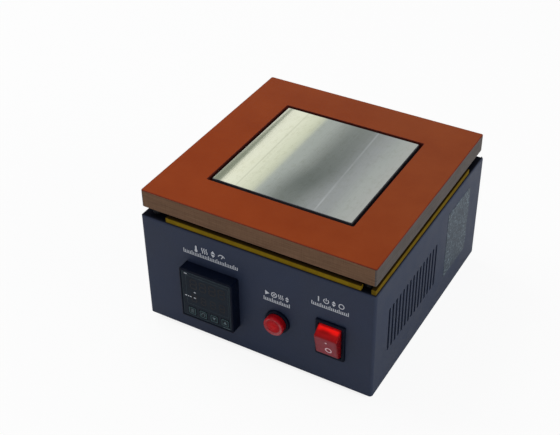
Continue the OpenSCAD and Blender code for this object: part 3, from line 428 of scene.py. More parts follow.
def polished_plate():
    """Hot plate: ground along its depth, with fine streaks, heat stains, smudges and stray scratches."""
    plate = Finish("polished_plate", Metallic=1.0, Anisotropic=0.7)
    streak = plate.noise(900, 4, 0.65, plate.stretched(1, 0.02, 1))
    band = plate.noise(26, 3, 0.55, plate.stretched(1, 0.12, 1))
    stain = plate.noise(30, 4, 0.6)
    smudge = plate.noise(300, 5, 0.7, plate.stretched(1, 0.6, 1))
    tone = plate.ramp(band, (0.3, (0.72, 0.73, 0.72)), (0.7, (0.80, 0.80, 0.78)))
    tone = plate.mixed(plate.span(streak, 0, 0.35, 0.5, 0.8), tone, (0.62, 0.63, 0.63, 1))
    tone = plate.mixed(plate.span(smudge, 0, 0.4, 0.5, 0.7), tone, (0.58, 0.58, 0.52, 1))
    tone = plate.mixed(plate.span(stain, 0, 0.3, 0.55, 0.8), tone, (0.70, 0.69, 0.60, 1))
    dull_scratch = plate.math("MULTIPLY", plate.line(-0.040, -0.01, 0.0009), 0.3)
    tone = plate.mixed(dull_scratch, tone, (0.45, 0.45, 0.42, 1))
    bright_scratch = plate.math("MULTIPLY", plate.line(0.0268, -0.035, 0.001),
                                plate.span(stain, 0.25, 0.8, 0.35, 0.6))
    plate.link(plate.mixed(bright_scratch, tone, (1, 1, 1, 1)), "Base Color")
    rough = plate.math("ADD", plate.span(streak, 0, 0.012), plate.span(band, 0.018, 0.028, 0.3, 0.7))
    plate.link(rough, "Roughness")
    plate.link(plate.bump(streak, 0.0000015), "Normal")
    plate.link(plate.node("ShaderNodeTangent", direction_type="UV_MAP").outputs[0], "Tangent")
    return plate.material


def ground_side_painted_shade():
    """Sides of the hot plate: milled, and painted dark as shade in the slit round the plate."""
    side = Finish("ground_side_painted_shade", Metallic=0.6)
    cloud = side.noise(240, 4, 0.6)
    cutter = side.noise(1500, 2, 0.5, side.stretched(1, 1, 0.1))
    side.link(side.ramp(cloud, (0.3, (0.06, 0.065, 0.08)), (0.7, (0.12, 0.125, 0.14))), "Base Color")
    side.link(side.span(cutter, 0.45, 0.65), "Roughness")
    side.link(side.bump(cutter, 0.00001), "Normal")
    return side.material


def plated(name, colour, rough):
    """Zinc, nickel or bare metal with slight clouding."""
    metal = Finish(name, Metallic=1.0)
    cloud = metal.noise(180, 4, 0.6)
    grain = metal.noise(2500, 2)
    metal.link(metal.ramp(cloud, (0.3, shade(colour, 0.82)), (0.7, shade(colour, 1.05))), "Base Color")
    metal.link(metal.span(cloud, rough - 0.08, rough + 0.12, 0.3, 0.7), "Roughness")
    metal.link(metal.bump(grain, 0.000015), "Normal")
    return metal.material


def moulded(name, colour, rough=0.4, specular=0.4, texture=0.00003):
    """Moulded plastic or rubber with a fine eroded texture of the given depth."""
    plastic = Finish(name, Specular_IOR_Level=specular)
    cloud = plastic.noise(120, 3)
    grain = plastic.noise(3200, 2, 0.6)
    plastic.link(plastic.ramp(cloud, (0.3, shade(colour, 0.88)), (0.7, shade(colour, 1.12))), "Base Color")
    plastic.link(plastic.span(grain, rough - 0.06, rough + 0.08, 0.3, 0.7), "Roughness")
    plastic.link(plastic.bump(grain, texture), "Normal")
    return plastic.material


def mustard_strip():
    """Epoxy-glass strip: mustard yellow with fine glass threads, painted shade on its top and at its foot."""
    strip = Finish("mustard_strip", Specular_IOR_Level=0.03)
    cloud = strip.noise(90, 4, 0.6)
    weave = strip.noise(1600, 3, 0.6)
    low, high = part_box("front_strip")
    tone = strip.ramp(cloud, (0.3, (0.178, 0.110, 0.0055)), (0.7, (0.240, 0.156, 0.0085)))
    tone = strip.mixed(strip.span(weave, 0, 0.4, 0.5, 0.75), tone, (0.29, 0.20, 0.014, 1))
    # Painted shade: the top goes near black as the shade under the board, and the foot as a contact shadow.
    painted_shade = strip.math("ADD", strip.span(strip.height(), 0, 0.9, high.z - 0.0005, high.z - 0.0001),
                      strip.span(strip.height(), 0.85, 0, low.z + 0.0003, low.z + 0.0013))
    # The right strip is darker as a whole.
    darker_right_strip = strip.span(strip.axis("X"), 0, 0.35, high.x, SIDE_X - 0.006)
    painted_shade = strip.math("MAXIMUM", painted_shade, darker_right_strip)
    strip.link(strip.mixed(painted_shade, tone, (0.012, 0.006, 0.003, 1)), "Base Color")
    strip.link(strip.span(weave, 0.75, 0.95), "Roughness")
    strip.link(strip.bump(weave, 0.00003), "Normal")
    return strip.material


def smoked_window():
    """The controller's faceplate: smoked glossy plastic with a faint satin ripple."""
    window = Finish("smoked_window", Specular_IOR_Level=0.12)
    haze = window.noise(90, 3)
    window.link(window.ramp(haze, (0.3, (0.004, 0.0095, 0.019)), (0.7, (0.007, 0.0145, 0.025))), "Base Color")
    window.link(window.span(haze, 0.10, 0.18, 0.3, 0.7), "Roughness")
    window.link(window.bump(haze, 0.00004), "Normal")
    return window.material


def lens_red():
    """Translucent red lens: painted glow in its middle, a painted rim highlight, and painted shade on its
    side.
    """
    red = Finish("lens_red", IOR=1.49, Subsurface_Weight=0.25, Subsurface_Radius=(1.0, 0.12, 0.10),
                 Subsurface_Scale=0.003)
    spot = middle("run_light_lens")
    front_y, shoulder_y, side_y, rim_r = FRONT_Y - 0.0072, FRONT_Y - 0.0066, FRONT_Y - 0.0052, 0.0067
    cloud = red.noise(300, 4, 0.6)
    right = red.math("SUBTRACT", red.axis("X"), spot.x)
    up = red.math("SUBTRACT", red.height(), spot.z)
    flat = red.node("ShaderNodeCombineXYZ", {"X": right, "Y": 0.0, "Z": up}).outputs[0]
    radius = red.node("ShaderNodeVectorMath", {0: flat}, operation="LENGTH").outputs["Value"]
    low_right = red.span(red.math("SUBTRACT", right, up), 0.15, 1, -0.006, 0.009)
    rim = red.near(radius, rim_r, 0.0006, 0.0013)
    front = red.span(red.axis("Y"), 1, 0, front_y, shoulder_y)
    # Painted glow: the middle of the front is brighter.
    glow = red.math("MULTIPLY", front, red.span(radius, 1, 0, 0.001, 0.006))
    tone = red.ramp(cloud, (0.3, (0.36, 0.004, 0.010)), (0.7, (0.48, 0.006, 0.013)))
    beside = red.span(red.axis("Y"), 0, 1, shoulder_y, side_y)
    under = red.span(up, 1, 0, -0.004, 0.004)
    # Painted shade: the side is darker, and near black underneath.
    tone = red.mixed(red.math("MULTIPLY", beside, 0.8), tone, (0.24, 0.001, 0.003, 1))
    tone = red.mixed(red.math("MULTIPLY", beside, under), tone, (0.03, 0.0004, 0.001, 1))
    tone = red.mixed(glow, tone, (0.62, 0.004, 0.006, 1))
    # Painted highlight: a pale ring on the rim, strongest towards the lower right.
    painted_rim_highlight = red.math("MULTIPLY", red.math("MULTIPLY", rim, front), red.math("MULTIPLY", low_right, 0.65))
    red.link(red.mixed(painted_rim_highlight, tone, (0.42, 0.14, 0.15, 1)), "Base Color")
    red.link(red.span(rim, 0.12, 0.25), "Specular IOR Level")
    red.link(red.span(cloud, 0.22, 0.32, 0.3, 0.7), "Roughness")
    red.link(red.bump(cloud, 0.00002), "Normal")
    return red.material


def rocker_painted_glow():
    """Translucent red rocker with a painted glow on its pressed half and painted shade at its edges."""
    red = Finish("rocker_red", IOR=1.49, Emission_Strength=1.0)
    spot = middle("switch_body")
    cloud = red.noise(220, 3)
    blotch = red.noise(700, 4, 0.6)
    ridge_z, top_z = spot.z + 0.0075, spot.z + 0.0131
    rise = red.span(red.height(), 0, 1, ridge_z - 0.0005, top_z)
    inside = red.near(red.axis("X"), spot.x, 0.0076, 0.0094)
    tone = red.ramp(cloud, (0.3, (0.22, 0.018, 0.030)), (0.7, (0.30, 0.026, 0.040)))
    tone = red.mixed(red.span(blotch, 0, 0.5, 0.55, 0.7), tone, (0.20, 0.008, 0.012, 1))
    # Painted shade: the side edges are darker.
    tone = red.mixed(red.span(inside, 0.8, 0), tone, (0.14, 0.0006, 0.001, 1))
    # Painted glow: the pressed half takes a deeper red.
    red.link(red.mixed(red.span(rise, 0, 1, 0, 0.12), tone, (0.26, 0.002, 0.003, 1)), "Base Color")
    # Painted glow on the pressed half, fading at its top end as painted shadow from the frame.
    glow = red.ramp(rise, (0.05, (0, 0, 0)), (0.3, (0.10, 0.001, 0.002)), (0.55, (0.16, 0.002, 0.001)),
                    (0.70, (0.54, 0.004, 0.002)), (0.91, (0.74, 0.005, 0.002)), (1.0, (0.24, 0.001, 0.001)))
    # Painted shadow: the glow dips left of the middle and dims towards the side edges.
    left_of_middle = red.near(red.axis("X"), spot.x - 0.002, 0.002, 0.006)
    painted_shadow_left = red.math("MULTIPLY", red.near(rise, 0.6, 0.06, 0.2), left_of_middle)
    uneven = red.math("MULTIPLY", inside, red.span(cloud, 0.8, 1.1, 0.3, 0.7))
    uneven = red.math("MULTIPLY", uneven, red.span(painted_shadow_left, 1, 0.35))
    red.link(red.mixed(uneven, (0.02, 0, 0, 1), glow), "Emission Color")
    red.link(red.span(rise, 0.25, 0.12), "Specular IOR Level")
    red.link(red.span(cloud, 0.16, 0.26, 0.3, 0.7), "Roughness")
    red.link(red.bump(cloud, 0.00002), "Normal")
    return red.material


def white_ink():
    """Screen-printed white ink, slightly uneven."""
    white = Finish("white_ink", Specular_IOR_Level=0.3)
    grain = white.noise(2200, 3, 0.6)
    white.link(white.ramp(grain, (0.3, (0.50, 0.53, 0.57)), (0.65, (0.72, 0.74, 0.78))), "Base Color")
    white.link(white.span(grain, 0.5, 0.65), "Roughness")
    return white.material


def blank_label_film():
    """Blank grey label film with rows of worn silver speckle."""
    film = Finish("blank_label_film", Specular_IOR_Level=0.2)
    rows = film.noise(560, 2, 0.6, film.stretched(1, 0.55, 1))
    wear = film.noise(60, 4, 0.6)
    speck = film.math("MULTIPLY", film.span(rows, 0, 1, 0.48, 0.6), film.span(wear, 0.3, 1, 0.35, 0.65))
    film.link(film.mixed(speck, (0.029, 0.041, 0.060, 1), (0.14, 0.192, 0.235, 1)), "Base Color")
    film.link(film.span(rows, 0.4, 0.6), "Roughness")
    film.link(film.bump(rows, 0.00002), "Normal")
    return film.material


def ceramic(name, colour, rough=0.6):
    """Unglazed ceramic or pressed mica, faintly grained."""
    clay = Finish(name, Specular_IOR_Level=0.3)
    grain = clay.noise(700, 5, 0.7)
    clay.link(clay.ramp(grain, (0.3, shade(colour, 0.8)), (0.7, colour)), "Base Color")
    clay.link(clay.span(grain, rough - 0.1, rough + 0.15), "Roughness")
    clay.link(clay.bump(grain, 0.00008), "Normal")
    return clay.material


def fibre_blanket():
    """White ceramic-fibre blanket with a loose, matted surface."""
    fibre = Finish("fibre_blanket", Specular_IOR_Level=0.1, Sheen_Weight=0.3)
    tangle = fibre.noise(900, 6, 0.75)
    fibre.link(fibre.ramp(tangle, (0.25, (0.55, 0.53, 0.48)), (0.7, (0.86, 0.85, 0.81))), "Base Color")
    fibre.link(fibre.span(tangle, 0.85, 1.0), "Roughness")
    fibre.link(fibre.bump(tangle, 0.0004), "Normal")
    return fibre.material


def glass_braid():
    """Woven glass-fibre sleeve of the heater leads."""
    braid = Finish("glass_braid", Specular_IOR_Level=0.2, Sheen_Weight=0.2)
    strands = braid.noise(2600, 3, 0.6, braid.stretched(1, 1, 0.4))
    crossing = braid.cells(1900)
    braid.link(braid.ramp(strands, (0.3, (0.42, 0.40, 0.34)), (0.7, (0.72, 0.70, 0.62))), "Base Color")
    braid.link(braid.span(crossing, 0.6, 0.85), "Roughness")
    braid.link(braid.bump(crossing, 0.0001), "Normal")
    return braid.material


def fuse_tube():
    """Glass tube of the fuse, between its caps."""
    tube = Finish("fuse_tube", Transmission_Weight=0.8, IOR=1.5)
    smear = tube.noise(500, 3)
    tube.link(tube.ramp(smear, (0.3, (0.80, 0.83, 0.84)), (0.7, (0.93, 0.95, 0.96))), "Base Color")
    tube.link(tube.span(smear, 0.04, 0.12), "Roughness")
    return tube.material


PAINT = powder_coat("case_powder_coat", (0.0195, 0.029, 0.060))
FACE = phenolic_face()
EDGE = phenolic_edge("phenolic_edge", (0.180, 0.100, 0.057))
# The left and right edges: the sawn edge, greyed as a painted reflection.
SIDE_EDGE_PAINTED_REFLECTION = phenolic_edge("phenolic_side_edge_painted_reflection", (0.094, 0.082, 0.078))
# The wall of the opening: painted shade.
SLIT_PAINTED_SHADE = phenolic_slit_painted_shade()
# The arris between face and edge: the edge finish, painted dark red as a shade line.
ARRIS_PAINTED_SHADE = phenolic_edge("phenolic_arris_painted_shade", (0.17, 0.020, 0.009))
PLATE = polished_plate()
# Sides and eased edges of the hot plate: painted shade.
PLATE_SIDE_PAINTED_SHADE = ground_side_painted_shade()
ZINC = plated("zinc_plate", (0.66, 0.68, 0.70), rough=0.36)
BRASS = plated("turned_brass", (0.72, 0.50, 0.22), rough=0.3)
STAINLESS = plated("stainless", (0.55, 0.56, 0.58), rough=0.28)
TINNED = plated("tinned_contact", (0.76, 0.72, 0.62), rough=0.3)
MILL = plated("mill_aluminium", (0.72, 0.73, 0.75), rough=0.42)
RUBBER = moulded("foot_rubber", (0.012, 0.012, 0.012), rough=0.75, specular=0.25, texture=0.00008)
BLACK = moulded("black_plastic", (0.0018, 0.0042, 0.0135), rough=0.38, specular=0.09)
NYLON = moulded("black_nylon", (0.014, 0.014, 0.016), rough=0.5, specular=0.35)
SHELL = moulded("relay_shell", (0.020, 0.021, 0.023), rough=0.45)
SOLDER_MASK = moulded("solder_mask", (0.010, 0.075, 0.028), rough=0.3)
KEY = moulded("key_cap", (0.005, 0.010, 0.015), rough=0.3, specular=0.12)
STRIP = mustard_strip()
WINDOW = smoked_window()
LENS = lens_red()
ROCKER = rocker_painted_glow()
INK = white_ink()
TEAL_INK = moulded("teal_ink", (0.075, 0.145, 0.160), rough=0.5, specular=0.2)
DIM_INK = moulded("dim_ink", (0.023, 0.046, 0.054), rough=0.5, specular=0.2)
PALE_INK = moulded("pale_ink", (0.12, 0.17, 0.19), rough=0.5, specular=0.2)
UNLIT = moulded("unlit_segment", (0.0115, 0.0105, 0.0135), rough=0.3, specular=0.15)
ROCKER_INK = moulded("rocker_ink", (0.80, 0.55, 0.58), rough=0.5)
LABEL = blank_label_film()
STEATITE = ceramic("steatite", (0.80, 0.78, 0.71))
MICA = ceramic("mica", (0.55, 0.49, 0.36), rough=0.45)
FIBRE = fibre_blanket()
BRAID = glass_braid()
BROWN_LEAD = moulded("brown_lead", (0.085, 0.038, 0.020), rough=0.6, specular=0.3)
BLUE_LEAD = moulded("blue_lead", (0.020, 0.060, 0.24), rough=0.45)
SLEEVE = moulded("connector_sleeve", (0.60, 0.55, 0.44))
TUBE = fuse_tube()

BY_SLOT = {
    "case_paint": PAINT, "zinc": ZINC, "foot_rubber": RUBBER, "strip": STRIP, "phenolic": FACE,
    "nylon": NYLON, "plate_metal": PLATE, "mica": MICA, "ceramic": STEATITE, "fibre": FIBRE,
    "brass": BRASS, "probe_steel": STAINLESS, "housing_black": BLACK, "faceplate": WINDOW,
    "circuit_board": SOLDER_MASK, "key_grey": KEY, "lens_red": LENS, "rocker_red": ROCKER,
    "contact_brass": TINNED, "fuse_glass": TUBE, "relay_shell": SHELL, "spreader": MILL, "label": LABEL,
    "copper_leads": BROWN_LEAD, "signal_leads": BLUE_LEAD, "glass_braid": BRAID, "connectors": SLEEVE,
}


def dress_nodes():
    """Gives every CAD node the finish of its material slot."""
    for part in frame["record"]["subparts"]:
        node = frame["nodes"][part["node"]]
        node.data.materials.clear()
        node.data.materials.append(BY_SLOT[part["material_slot"]])


# Pieces

def board():
    """Insulating board: eased edges, a plain face, sawn edges, and painted shade on the arris and in the
    slit.
    """
    low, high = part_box("top_board")
    side, thick = size_mm("top_board").x, size_mm("top_board").z
    slit, corner, ease = 2.75, 1.3, 0.5
    opening = size_mm("hot_plate").x + 2 * slit
    upper = eased(ease, thick, 2)
    profile = [(cut, thick - z) for cut, z in reversed(upper)] + upper
    outer = stacked(side, side, corner, profile, 4)
    inner = stacked(opening, opening, corner, [(-cut, z) for cut, z in profile], 4)
    materials = [FACE, EDGE, SIDE_EDGE_PAINTED_REFLECTION, SLIT_PAINTED_SHADE, ARRIS_PAINTED_SHADE]
    halfway = (side + opening) / 4 * MM

    # Painted shade on the arris and the wall of the opening; a painted reflection on the left and right
    # edges.
    def tint(face):
        across, back = (abs(c) for c in face.calc_center_median()[:2])
        if abs(face.normal.z) > 0.99:
            finish = FACE
        elif max(across, back) < halfway:
            finish = SLIT_PAINTED_SHADE
        elif face.normal.z > 0.1:
            finish = ARRIS_PAINTED_SHADE
        else:
            finish = SIDE_EDGE_PAINTED_REFLECTION if across > back else EDGE
        return materials.index(finish)

    place = lying(0, (low.y + high.y) / 2, low.z)
    piece("board_sheet", loft(outer + inner[::-1], loop=True), place, materials,
          replaces=["top_board"], sharp=50, tint=tint)


def plate():
    """Hot plate whose sides and eased edges carry painted shade; its UVs run along the grinding direction."""
    low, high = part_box("hot_plate")
    side, thick = size_mm("hot_plate").x, size_mm("hot_plate").z
    ease, corner = 0.5, 0.8
    mesh = loft(stacked(side, side, corner, [(0, 0)] + eased(ease, thick, 3), 4))
    layer = mesh.loops.layers.uv.new("UVMap")
    for face in mesh.faces:
        for vertex in face.loops:
            vertex[layer].uv = (vertex.vert.co.y / side, vertex.vert.co.x / side)
    # The sides and eased edges take the painted shade.
    piece("plate_block", mesh, lying(0, (low.y + high.y) / 2, low.z), [PLATE, PLATE_SIDE_PAINTED_SHADE],
          replaces=["hot_plate"], tint=lambda face: 0 if face.normal.z > 0.999 else 1)


def surround():
    """Controller bezel: square frame with soft outer edges and a chamfered lip round the window."""
    spot = middle("controller_bezel")
    side, proud = size_mm("controller_bezel").x, size_mm("controller_bezel").y
    window, window_t = size_mm("controller_faceplate").x, size_mm("controller_faceplate").y
    seat_z = proud - WINDOW_SUNK - window_t
    soft, corner, least_corner = 0.9, 1.4, 0.25
    lip = (side - window) / 2 - 0.05
    outer = [(0, 0)] + eased(soft, proud, 6)
    inner = [(lip - 0.35, proud), (lip, proud - 0.3), (lip, seat_z), (lip, 0)]
    rings = [rect_ring(side - 2 * cut, side - 2 * cut, max(corner - cut, least_corner), z)
             for cut, z in outer + inner]
    piece("controller_surround", loft(rings, loop=True), on_front(spot.x, spot.z), BLACK,
          replaces=["controller_bezel"])


def digit(x, y, w, h, t):
    """Seven bars of one display digit, all unlit."""
    half, gap = h / 2, t * 0.25
    aside, above = (w - t) / 2, (half - t / 2) / 2
    level = [bar(x, y + s * (half - t / 2), w - t - 2 * gap, t) for s in (-1, 0, 1)]
    upright = [bar(x + sx * aside, y + sy * above, t, half - t - 2 * gap)
               for sx in (-1, 1) for sy in (-1, 1)]
    return level + upright


def display():
    """Unlit digits in two rows behind the window, the printed marks on it, and a painted highlight at its
    edges.
    """
    spot = middle("controller_bezel")
    face = on_front(spot.x, spot.z, size_mm("controller_bezel").y - WINDOW_SUNK)
    pitch, shift, thin, thick = 8.6, 1.5, 0.02, 0.03
    bars = []
    for y, w, h, t in ((11.6, 6.6, 9.6, 1.1), (-2.6, 5.2, 7.6, 0.9)):
        for k in (-1.5, -0.5, 0.5, 1.5):
            bars += digit(k * pitch + shift, y, w, h, t)
    ink("unlit_digits", face, UNLIT, bars, height=thin)
    frames = [rect_pair(0, 0, 43.6, 43.6, 1.0, 0.3), rect_pair(1.0, 4.6, 38.5, 28.6, 0.8, 0.22)]
    ink("window_border", face, DIM_INK, loops=frames, height=thin)
    # Painted highlight: pale lines along the window's top and right edges, where the bezel's lip meets it;
    # the third runs below the top one.
    lines = [bar(0, 21.65, 42, 0.5), bar(21.65, 10, 0.4, 22), bar(3, 18.9, 30, 0.3)]
    ink("window_lines", face, DIM_INK, lines, height=thick)
    dots = [bar(-18.0, 20.4, 2.4, 0.7), bar(-10.4, 3.6, 1.8, 0.8)]
    dots += [bar(x, -2.0, w, 0.9) for x, w in ((-19.0, 1.9), (-16.6, 0.9), (-14.6, 1.3), (-10.7, 1.9))]
    ink("window_marks", face, INK, dots, height=thick)
    ink("window_foot_line", face, PALE_INK, [bar(17.8, -21.2, 6.0, 0.45)], height=thick)


def key_cap(i):
    """Key i: a soft cap through the window, its outline and its generic symbol."""
    node = f"key_{i}"
    low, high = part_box(node)
    proud, foot = (FRONT_Y - low.y) / MM, (FRONT_Y - high.y) / MM
    w, h, r, reach = 6.8, 7.0, 0.9, 2.3
    below_middle = 16.1
    behind = proud - reach
    profile = [(0, behind), (0, proud - 0.35), (0.1, proud - 0.12), (0.35, proud - 0.02), (0.9, proud)]
    cap = loft(stacked(w, h, r, profile))
    flange = prism([bar(0, 0.4, w + 1.2, h + 0.6)], behind - 1.01, behind + 0.01)
    stem = prism([circle(0, 1.6, 1.4, 24)], foot, behind - 1)
    spot = middle(node).x, middle("controller_bezel").z - below_middle * MM
    piece(f"key_cap_{i}", joined(cap, flange, stem), on_front(*spot), KEY, body=node,
          replaces=[node])
    marks = {
        1: [bar(0.1, 1.2, 2.6, 0.5), bar(0.1, 0, 2.6, 0.5), bar(0.1, -1.2, 2.6, 0.5)],
        2: [ribbon(arc(0, 0, 1.5, -60, 200, 16), 0.5), triangle(-1.45, -0.8, 1.5, -1.2)],
        3: [triangle(0, -0.1, 3.2, -2.8)],
        4: [triangle(0, 0.1, 3.2, 2.8)],
    }[i]
    top = on_front(*spot, proud)
    outline = rect_pair(0, 0, w - 0.7, h - 0.7, r, 0.36)
    ink(f"key_outline_{i}", top, TEAL_INK, loops=[outline], body=node, height=0.02)
    ink(f"key_mark_{i}", top, PALE_INK, marks, body=node, height=0.02)


def lamp():
    """Run light: a black flange with a soft edge, and a red lens with fine rings in its flat front."""
    spot = middle("run_light_lens")
    place = on_front(spot.x, spot.z)
    flange_r, lens_r = size_mm("run_light_body").x / 2, size_mm("run_light_lens").x / 2
    neck_r, barrel_r, bore_r, lens_foot_r = 6.2, 8, 7.05, 7.0
    top, soft, deep, neck_deep = 2.6, 1.2, 30, 26
    flange = [(neck_r, -deep), (neck_r, -neck_deep), (barrel_r, -neck_deep), (barrel_r, 0)]
    flange += [(flange_r - cut, z) for cut, z in [(0, 0)] + eased(soft, top, 6)]
    flange += [(bore_r + 0.35, top), (bore_r, top - 0.4), (bore_r, -1.4)]
    blades = prism([bar(s * 3, 0, 0.8, 2.8) for s in (-1, 1)], -deep - 7, -deep + 0.01)
    piece("lamp_flange", joined(revolved(flange), blades), place, BLACK,
          replaces=["run_light_body"])

    proud = (FRONT_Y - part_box("run_light_lens")[0].y) / MM
    taper, round_w, round_h, ring_w, ring_h = 0.12, 0.93, 1.1, 0.4, 0.2
    shoulder_r, shoulder, dish = lens_r - taper, proud - round_h, proud - 0.45
    lens = [(lens_foot_r, -1.39), (lens_foot_r, top), (lens_r, top + 0.02), (shoulder_r, shoulder)]
    for degrees in (20, 40, 60, 80):
        t = math.radians(degrees)
        lens.append((shoulder_r - round_w * (1 - math.cos(t)), shoulder + round_h * math.sin(t)))
    lens += [(lens_r - 1.2, proud), (lens_r - 1.7, proud - 0.05), (lens_r - 1.9, dish)]
    for r in (5.6, 4.6, 3.6, 2.6, 1.6):
        lens += [(r, dish), (r - ring_w, dish + ring_h)]
    lens.append((0.5, dish))
    piece("lamp_lens", revolved(lens), place, LENS, replaces=["run_light_lens"], sharp=60)


def turned(point, angle):
    """The point turned about the origin by an angle in degrees."""
    x, y = point
    c, s = math.cos(math.radians(angle)), math.sin(math.radians(angle))
    return x * c - y * s, x * s + y * c


def soft_corner(a, b, c, reach):
    """Points that round the corner b between a and c."""
    a, b, c = Vector(a), Vector(b), Vector(c)
    p, q = b + reach * (a - b).normalized(), b + reach * (c - b).normalized()
    return [tuple((1 - t) ** 2 * p + 2 * t * (1 - t) * b + t * t * q) for t in (0, 0.25, 0.5, 0.75, 1)]


def rocker():
    """The rocker with eased edges, its trunnions, a ring mark on the half that stands out, and a small pale
    dot.
    """
    radius, ridge, width, tip = 14.05, (13.9, 5.05), 18.8, 10.5
    upper_end, lower_end, skirt_angle, skirt_z = 57, 62.5, 106.5, -2.2
    pin_r, pin_reach, pivot_deep = 1.4, 0.6, 3
    ridge_soft, ease, tiny = 1.4, 0.7, 0.01
    upper = arc(0, 0, radius, upper_end, skirt_angle, 10)
    lower = arc(0, 0, radius, -skirt_angle, -lower_end, 10)
    hollow = [(-4, 8), (-1.5, 3), (-3, 1.6)]
    back = hollow + [(x, -y) for x, y in reversed(hollow)]
    outline = soft_corner(lower[-1], ridge, upper[0], ridge_soft) + upper + back + lower
    mesh = prism([[turned(p, tip) for p in outline]], -width / 2, width / 2)
    mesh.transform(Matrix(((0, 0, -1, 0), (0, 1, 0, 0), (1, 0, 0, 0), (0, 0, 0, 1))))
    bmesh.ops.recalc_face_normals(mesh, faces=mesh.faces)
    rim = [e for e in mesh.edges if abs(abs(e.verts[0].co.x + e.verts[1].co.x) - width) < tiny
           and min(v.co.z for v in e.verts) > skirt_z]
    corner_z = turned(upper[0], tip)[0], turned(lower[-1], tip)[0]
    ends = [e for e in mesh.edges if abs(e.verts[0].co.x + e.verts[1].co.x) < tiny
            and min(abs(e.verts[0].co.z - z) for z in corner_z) < tiny]
    bmesh.ops.bevel(mesh, geom=rim + ends, offset=ease, segments=4, profile=0.5, affect="EDGES")
    pins = revolved([(pin_r, s * (width / 2 + pin_reach)) for s in (-1, 1)], 24)
    pins.transform(Matrix.Rotation(math.radians(90), 4, "Y"))
    spot = middle("switch_body")
    pivot = on_front(spot.x, spot.z, -pivot_deep)
    piece("rocker_cap", joined(mesh, pins), pivot, ROCKER, body="rocker",
          replaces=["rocker"], sharp=40)

    foot, crest = Vector(turned(lower[-1], tip)), Vector(turned(ridge, tip))
    along = (crest - foot).normalized()
    mark_x, mark_up = 1.9, 6.7
    out, up = foot + along * mark_up
    face = pivot @ Matrix(((1, 0, 0, mark_x), (0, along.y, -along.x, up),
                           (0, along.x, along.y, out), (0, 0, 0, 1)))
    ink("rocker_ring_mark", face, ROCKER_INK, loops=[ring_pair(0, 0, 2.8, 0.9)], body="rocker")
    # A small pale dot nearer the ridge.
    ink("rocker_pale_dot", face @ Matrix.Translation((-1.4, 8.2, 0)), ROCKER_INK,
        [circle(0, 0, 0.8)], body="rocker")


def switch_frame():
    """Switch housing: a frame with rounded edges round a deep well, clip tabs and a box behind the panel."""
    spot = middle("switch_body")
    w, h = size_mm("switch_body").x, size_mm("switch_body").z
    well_w, well_h, well_deep = 19.4, 28.8, 10.5
    box_w, box_h, box_deep = 21.9, 30.0, (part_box("switch_body")[1].y - FRONT_Y) / MM
    proud, soft, corner, well_soft = 2.0, 0.8, 1.2, 0.3
    rings = [rect_ring(box_w, box_h, 0.5, z) for z in (-box_deep, 0)]
    rings += stacked(w, h, corner, [(0, 0)] + eased(soft, proud, 4))
    rings.append(rect_ring(well_w + 0.4, well_h + 0.4, 0.4, proud))
    rings += [rect_ring(well_w, well_h, well_soft, z) for z in (proud - well_soft, -well_deep)]
    tab_w, tab_out, tab_root, tab_low, tab_high = 8, 0.9, -0.3, -6.7, -1.7
    corners = ((tab_root, tab_low), (0, tab_low), (tab_out, tab_high), (tab_root, tab_high))
    tabs = []
    for s in (1, -1):
        tab = prism([[(s * (box_h / 2 + out), z) for out, z in corners]], -tab_w / 2, tab_w / 2)
        tab.transform(Matrix(((0, 0, 1, 0), (1, 0, 0, 0), (0, 1, 0, 0), (0, 0, 0, 1))))
        tabs.append(tab)
    piece("switch_frame", joined(loft(rings), *tabs), on_front(spot.x, spot.z), BLACK,
          replaces=["switch_body"])


# Panel marks: generic pictograms, s millimetres across round x, y, and tick rules

def thermometer(x, y, s):
    stem = arc(x, y + 0.32 * s, 0.1 * s, 0, 180, 8)
    bulb = arc(x, y - 0.32 * s, 0.2 * s, 130, 410, 20)
    return [stem + bulb]


def heat_waves(x, y, s):
    waves = []
    for k in (-1, 0, 1):
        path = []
        for step in range(13):
            t = step / 12
            path.append((x + k * 0.3 * s + 0.07 * s * math.sin(t * 2 * math.pi), y + (t - 0.5) * 0.8 * s))
        waves.append(ribbon(path, 0.11 * s))
    return waves


def up_down(x, y, s):
    return [triangle(x, y + 0.28 * s, 0.6 * s, 0.42 * s), triangle(x, y - 0.28 * s, 0.6 * s, -0.42 * s)]


def dial_arc(x, y, s):
    marks = [ribbon(arc(x, y - 0.1 * s, 0.45 * s, 20, 160, 16), 0.11 * s)]
    return marks + [ribbon([(x, y - 0.15 * s), (x + 0.2 * s, y + 0.22 * s)], 0.11 * s)]


def cross(x, y, s):
    d = 0.3 * s
    return [ribbon([(x - d, y - k * d), (x + d, y + k * d)], 0.1 * s) for k in (1, -1)]


def play(x, y, s):
    return [[(x - 0.3 * s, y - 0.38 * s), (x + 0.38 * s, y), (x - 0.3 * s, y + 0.38 * s)]]


def power(x, y, s):
    return [ribbon(arc(x, y, 0.36 * s, 125, 415, 24), 0.12 * s), bar(x, y + 0.25 * s, 0.12 * s, 0.5 * s)]


def rule(x0, x1, y, tall):
    """A tick rule: fine ticks, every fifth one tall, on a thin base line."""
    pitch, tick_w, base_h = 1.5, 0.65, 0.3
    count = round((x1 - x0) / pitch)
    ticks = []
    for k in range(count + 1):
        h = tall if k % 5 == 0 else tall * 0.7
        ticks.append(bar(x0 + (x1 - x0) * k / count, y + h / 2, tick_w, h))
    return ticks + [bar((x0 + x1) / 2, y - base_h / 2, x1 - x0 + tick_w, base_h)]


